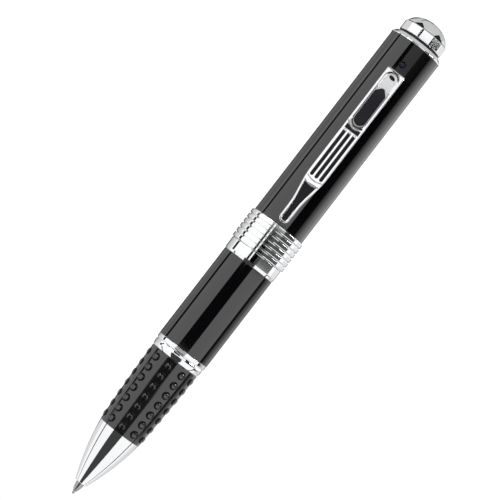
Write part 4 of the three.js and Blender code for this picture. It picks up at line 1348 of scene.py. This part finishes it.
# %% Clip frame
def flute(x):
    """A round-ended cutter that lies along the clip."""
    radius = FLUTE_RADIUS
    steps = 8
    climb = [math.pi / 2 * i / steps for i in range(steps)]
    low_end = [(radius * math.sin(t), FLUTE_LOW + radius - radius * math.cos(t)) for t in climb[1:]]
    high_end = [(radius * math.cos(t), FLUTE_HIGH - radius + radius * math.sin(t)) for t in climb]
    tool = turned([(0, FLUTE_LOW), *low_end, (radius, FLUTE_LOW + radius), *high_end, (0, FLUTE_HIGH)], 48)
    return moved(tool, Matrix.Translation((x, -(CLIP_FAR + radius - FLUTE_DEPTH), 0)))


def cross_bead(height, radius):
    """A raised line across the bar, bowed towards the nib."""
    half = clip_half_width(height) - 0.35
    places = []
    for i in range(13):
        x = half * (i / 6 - 1)
        bow = BAR_BULGE * (1 - (x / half) ** 2)
        places.append((x, -(CLIP_FAR - 0.02), height - bow))
    return tube(places, radius)


def tunnel():
    """The way under the clip's top edge that the tongue slides out through."""
    half = TONGUE_HALF + 2 * TONGUE_ROOM
    hole = [(-half, SLOT_TOP - 1), (half, SLOT_TOP - 1), (half, CLIP_HIGH + 1), (-half, CLIP_HIGH + 1)]
    return facing(extruded([hole], CLIP_INNER - 1, TONGUE_FAR + TONGUE_ROOM))


def slot_rim():
    """A raised wire round the lower end of the slot."""
    arch = arc((0, SLOT_BOTTOM + SLOT_HALF), SLOT_HALF + RIM_GAP + RIM_RADIUS, 205, 335, 28)
    return tube([(x, -(CLIP_FAR - 0.1), height) for x, height in arch], RIM_RADIUS)


def stud(x, height):
    """A small round bead at the upper end of a flute."""
    steps = 6
    climb = [math.pi / 2 * i / steps for i in range(steps)]
    outline = [(STUD_RADIUS * math.cos(t), STUD_RADIUS * math.sin(t)) for t in climb]
    bead = turned([(0, -0.3), (STUD_RADIUS, -0.3), *outline, (0, STUD_RADIUS)], 24)
    return moved(facing(bead, height - STUD_RADIUS), Matrix.Translation((x, -(CLIP_FAR - 0.2), 0)))


def heel():
    """The rounded foot under the tail that presses on the pocket."""
    steps = 10
    reach = CLIP_INNER - BARREL_RADIUS - 0.25
    outline = [
        (1.15 * math.cos(math.pi / 2 * i / steps), reach * math.sin(math.pi / 2 * i / steps))
        for i in range(steps)
    ]
    foot = turned([(0, -0.4), (1.15, -0.4), *outline, (0, reach)], 48)
    foot.transform(Matrix.Diagonal((1, 1.4, 1, 1)))
    foot.transform(Matrix.Rotation(math.pi, 4, "X"))
    return moved(facing(foot, CLIP_LOW + 1.95), Matrix.Translation((0, -CLIP_INNER, 0)))


def cheek(side):
    """One of the two ears that the hinge pin passes through."""
    low, high = ends("clip_pin")
    middle = (low + high) / 2
    near = distances("clip_pin")[0] - 0.25
    inner = ends("clip_mount", X)[1] + 0.1
    left, right = sorted((side * inner, side * CLIP_HALF))
    ear = extruded([round_box(left, right, middle - 1.2, middle + 1.2, 0.1)], near, CLIP_INNER + 0.3, 0.06)
    return facing(ear)


def clip_frame():
    tail_window = clip_outline(RAIL, CLIP_LOW + RAIL, BAR_LOW, dip=BAR_BULGE)
    slot = slot_outline(SLOT_HALF, SLOT_BOTTOM, SLOT_TOP, SLOT_CORNER)
    outline = clip_outline(0, CLIP_LOW, CLIP_HIGH, corner=0.35)
    bar = facing(extruded([outline, tail_window, slot], CLIP_INNER, CLIP_FAR, CLIP_EASE))
    bar = cut(bar, joined(*[flute(x) for x in FLUTE_PLACES]), tunnel())
    plate = clip_outline(RAIL / 2, CLIP_LOW + 0.3, CLIP_LOW + 4.2)
    backing = facing(extruded([plate], CLIP_INNER + 0.02, CLIP_INNER + 0.4, 0.05))
    beads = [cross_bead(BAR_LOW + 0.3, 0.2), cross_bead(FLUTE_LOW - 0.2, 0.16), slot_rim()]
    beads += [stud(x, FLUTE_HIGH) for x in FLUTE_PLACES]
    parts = joined(bar, backing, *beads, heel(), cheek(-1), cheek(1))
    return fit("clip_frame", parts, weighted=True)


def painted_flute_dark(x):
    """Painted dark reflection: a black filling that lies in a flute, a little under its edges."""
    level = FLUTE_RADIUS - FLUTE_DEPTH + PAINTED_DARK_DEPTH
    half = math.sqrt(FLUTE_RADIUS ** 2 - level ** 2)
    low, high = FLUTE_LOW + FLUTE_RADIUS, FLUTE_HIGH - 2 * STUD_RADIUS - half
    outline = arc((x, low), half, 180, 360, 10) + arc((x, high), half, 0, 180, 10)
    return facing(extruded([outline], CLIP_FAR - FLUTE_DEPTH, CLIP_FAR - PAINTED_DARK_DEPTH, 0.02))


def painted_rim_shade():
    """Painted shade: a black patch on the flat between the flutes and the slot's rim."""
    half = CLIP_HALF - CLIP_EASE - 0.25
    edge = arc((0, SLOT_BOTTOM + SLOT_HALF), SLOT_HALF + RIM_GAP + RIM_RADIUS, 352, 188, 24)
    top = [(x, height) for x, height in edge if abs(x) < half]
    low = FLUTE_HIGH + 0.05
    return facing(extruded([[(-half, low), (half, low), *top]], CLIP_FAR - 0.1, CLIP_FAR + 0.015))


def clip_inlay():
    near, far = distances("clip_inlay")
    inset = RAIL + 0.06
    outline = clip_outline(inset, CLIP_LOW + inset, BAR_LOW - 0.05, dip=BAR_BULGE)
    tail = facing(extruded([outline], near, far, 0.1))
    # Painted dark reflection in the flutes and painted shade beside the slot's rim, joined to the inlay.
    painted_flute_darks = [painted_flute_dark(x) for x in FLUTE_PLACES]
    return fit("clip_inlay", joined(tail, *painted_flute_darks, painted_rim_shade()), weighted=True)


def clip_mount():
    near, far = distances("clip_mount")
    low, high = ends("clip_mount")
    half = ends("clip_mount", X)[1]
    block = facing(extruded([round_box(-half, half, low, high, 0.3)], near - 0.2, far, 0.12))
    bed = BARREL_RADIUS + 0.02
    seat = turned([(0, low - 1), (bed, low - 1), (bed, high + 1), (0, high + 1)])
    return fit("clip_mount", cut(block, seat), weighted=True)


def clip_pin():
    left, right = ends("clip_pin", X)
    low, high = ends("clip_pin")
    near, far = distances("clip_pin")
    radius = (high - low) / 2
    pin = turned(eased([(0, left), (radius, left, 0.08), (radius, right, 0.08), (0, right)]), 40)
    pin.transform(Matrix.Rotation(math.pi / 2, 4, "Y"))
    return fit("clip_pin", moved(pin, Matrix.Translation((0, -(near + far) / 2, (low + high) / 2))))


for make in (clip_frame, clip_inlay, clip_mount, clip_pin):
    make()

# %% [markdown]
# ## Lens shutter
# A satin tongue slides in the clip's slot and covers the lens when it is pushed up. A black pad for the
# thumb is stuck on it, with a point at its upper end, and an oval mark is sunk in the tongue near its
# round top. A black plug in the mark is painted shade for its hollow. The pad has a shallow dish for the
# thumb. The tongue reaches a little past the pad's lower end, where it shows as a bright lip.

# %% Tongue and pad
PAD_LOW, PAD_HIGH = ends("thumb_pad")
MARK_HEIGHT = TONGUE_TOP - 1.15
MARK_HALF_WIDTH = 0.92
MARK_HALF_HEIGHT = 0.48
MARK_LEAN = math.radians(12)
PAD_POINT = 1.3
PAD_LIP = 0.28
DISH_RADIUS = 26.0
DISH_DEPTH = 0.22


def mark_disc(scale, low, high, dome):
    """An oval that leans a little, for the sunk mark near the tongue's top."""
    disc = turned([(0, low), (scale, low), (scale, high), (0.7 * scale, high + dome), (0, high + dome)], 48)
    disc.transform(Matrix.Diagonal((MARK_HALF_WIDTH, MARK_HALF_HEIGHT, 1, 1)))
    disc.transform(Matrix.Rotation(-MARK_LEAN, 4, "Z"))
    return facing(disc, MARK_HEIGHT)


def shutter_plate():
    round_low = PAD_LOW + TONGUE_HALF - PAD_LIP
    outline = arc((0, round_low), TONGUE_HALF, 180, 360, 18)
    outline += arc((0, TONGUE_TOP - TONGUE_HALF), TONGUE_HALF, 0, 180, 24)
    tongue = facing(extruded([outline], TONGUE_NEAR, TONGUE_FAR, 0.12))
    tongue = cut(tongue, mark_disc(1.0, TONGUE_FAR - 0.4, TONGUE_FAR + 0.4, 0))
    half = ends("shutter_plate", X)[1]
    lap = round_box(-half, half, PAD_LOW + 1, PAD_HIGH, 0.3)
    guide = facing(extruded([lap], TONGUE_NEAR + 0.02, CLIP_INNER - 0.1, 0.08))
    return fit("shutter_plate", joined(tongue, guide), weighted=True)


def thumb_pad():
    near, far = distances("thumb_pad")
    half = ends("thumb_pad", X)[1]
    shoulder = PAD_HIGH - PAD_POINT
    outline = arc((0, PAD_LOW + half), half, 180, 360, 18)
    right = [(half, shoulder - 0.3), (half - 0.1, shoulder), (0.4, PAD_HIGH - 0.1)]
    outline += [*right, (0, PAD_HIGH), *[(-x, height) for x, height in reversed(right)]]
    pad = facing(extruded([outline], near - 0.02, far, 0.2))
    dish = turned([(0, -2), (DISH_RADIUS, -2), (DISH_RADIUS, 2), (0, 2)], 160)
    dish.transform(Matrix.Rotation(math.pi / 2, 4, "Y"))
    dish_middle = (PAD_LOW + shoulder) / 2
    dish.transform(Matrix.Translation((0, -(far + DISH_RADIUS - DISH_DEPTH), dish_middle)))
    # Painted shade: a black plug in the tongue's sunk mark, joined to the pad, darkens the hollow.
    mark = mark_disc(0.94, TONGUE_FAR - 0.38, TONGUE_FAR - 0.16, 0.1)
    return fit("thumb_pad", joined(cut(pad, dish), mark), weighted=True)


shutter_plate()
thumb_pad()

# %% [markdown]
# ## Hidden joint between the halves
# When the halves are pulled apart, a thin steel spigot shows, with a socket and a memory card in its
# end. These get clean edges too: the spigot and its end cap are turned, and the socket and the card are
# outlines with round corners.

# %% Spigot, cap, socket and card
SPIGOT_RADIUS = 6.15
SPIGOT_BORE = 5.85


def spigot():
    low, high = ends("spigot")
    root = outer_radius("spigot")
    collar_back = ends("centre_collar")[1]
    radius = SPIGOT_RADIUS
    bore = SPIGOT_BORE
    return fit("spigot", turned(eased([
        (bore, low, 0.05),
        (radius - 0.12, low, 0.05),
        (radius, low + 0.35, 0.1),
        (radius, collar_back),
        (root, collar_back),
        (root, high),
        (bore, high),
    ], hold=0.02)))


def slab(node, low, high, margin=0.1):
    """A box in X and Y through these heights, a little larger than a node, to cut its opening."""
    left, right = ends(node, X)
    near, far = ends(node, Y)
    return extruded([round_box(left - margin, right + margin, near - margin, far + margin, 0.3)], low, high)


def end_cap():
    low, high = ends("end_cap")
    radius = outer_radius("end_cap")
    disc = turned([tuple(p) for p in eased([(0, low), (radius, low, 0.12), (radius, high), (0, high)])])
    card_hole = slab("memory_card", low - 1, high + 1, 0.06)
    return fit("end_cap", cut(disc, slab("usb_shell", low - 1, high + 1), card_hole), weighted=True)


SOCKET_WALL = 0.3


def usb_shell():
    low, high = ends("usb_shell")
    left, right = ends("usb_shell", X)
    near, far = ends("usb_shell", Y)
    outside = round_box(left, right, near, far, 0.7)
    inside = round_box(
        left + SOCKET_WALL, right - SOCKET_WALL, near + SOCKET_WALL, far - SOCKET_WALL, 0.45)
    walls = extruded([outside, inside], low, high, 0.05)
    back = extruded([inside], high - SOCKET_WALL, high)
    return fit("usb_shell", joined(walls, back), weighted=True)


def memory_card():
    low, high = ends("memory_card")
    left, right = ends("memory_card", X)
    near, far = distances("memory_card")
    notch = 0.7
    notched_edge = [(right, high - 6), (right - notch, high - 5), (right - notch, high)]
    outline = [(left, low), (right, low), *notched_edge, (left, high)]
    body = facing(extruded([outline], near, far, 0.08))
    ridge = round_box(left + 0.6, right - 1.2, low + 0.15, low + 0.6, 0.15)
    lip = facing(extruded([ridge], near - 0.05, near + 0.1, 0.03))
    return fit("memory_card", joined(body, lip), weighted=True)


for make in (spigot, end_cap, usb_shell, memory_card):
    make()

# %% [markdown]
# ## Button spring
# The return spring of the button gets shorter as the button is pressed. A rigid coil would pass through
# the button. Here the coil gets a mesh of its own, and the share of its length that it keeps when the
# button is pressed home is worked out and printed.

# %% Button spring
SPRING_WIRE = 0.25
SPRING_TURNS = 3


def button_spring():
    low, high = ends("button_spring")
    radius = outer_radius("button_spring") - SPRING_WIRE / 2
    steps = 96
    places = []
    for i in range(steps + 1):
        turn = 2 * math.pi * SPRING_TURNS * i / steps
        height = low + SPRING_WIRE / 2 + (high - low - SPRING_WIRE) * i / steps
        places.append((radius * math.cos(turn), radius * math.sin(turn), height))
    spring = fit("button_spring", tube(places, SPRING_WIRE / 2))
    travel = next(joint for joint in frame["joints"] if joint["name"] == "button_press")["range_m"][1] / MM
    keep = (high - low - travel) / (high - low)
    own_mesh(spring)
    print("spring keeps", round(keep, 3), "of its length")
    return spring


button_spring()

# %% [markdown]
# ## Everything else
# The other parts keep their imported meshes, whose shape is right. Most of them stay inside; the twist
# core also shows when the halves are apart. Each gets the finish that the record names for it.

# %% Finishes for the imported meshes
def finish_packed_meshes():
    for node, piece in frame["nodes"].items():
        piece.data.materials.clear()
        piece.data.materials.append(FINISHES[SLOT_OF[node]].material)
    return len(frame["nodes"])


print("packed meshes with a finish:", finish_packed_meshes())

# %% [markdown]
# ## Size and end
# The box round the fine pieces is set beside the imported model's box, and how far it grows on each
# side is printed. The fine pieces must stay within the imported model's box.

# %% Size and finish
fine_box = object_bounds()
growth = zip((*cad_box[0], *cad_box[1]), (*fine_box[0], *fine_box[1]))
print("grew by", [round((fine - cad) / MM, 3) for cad, fine in growth])
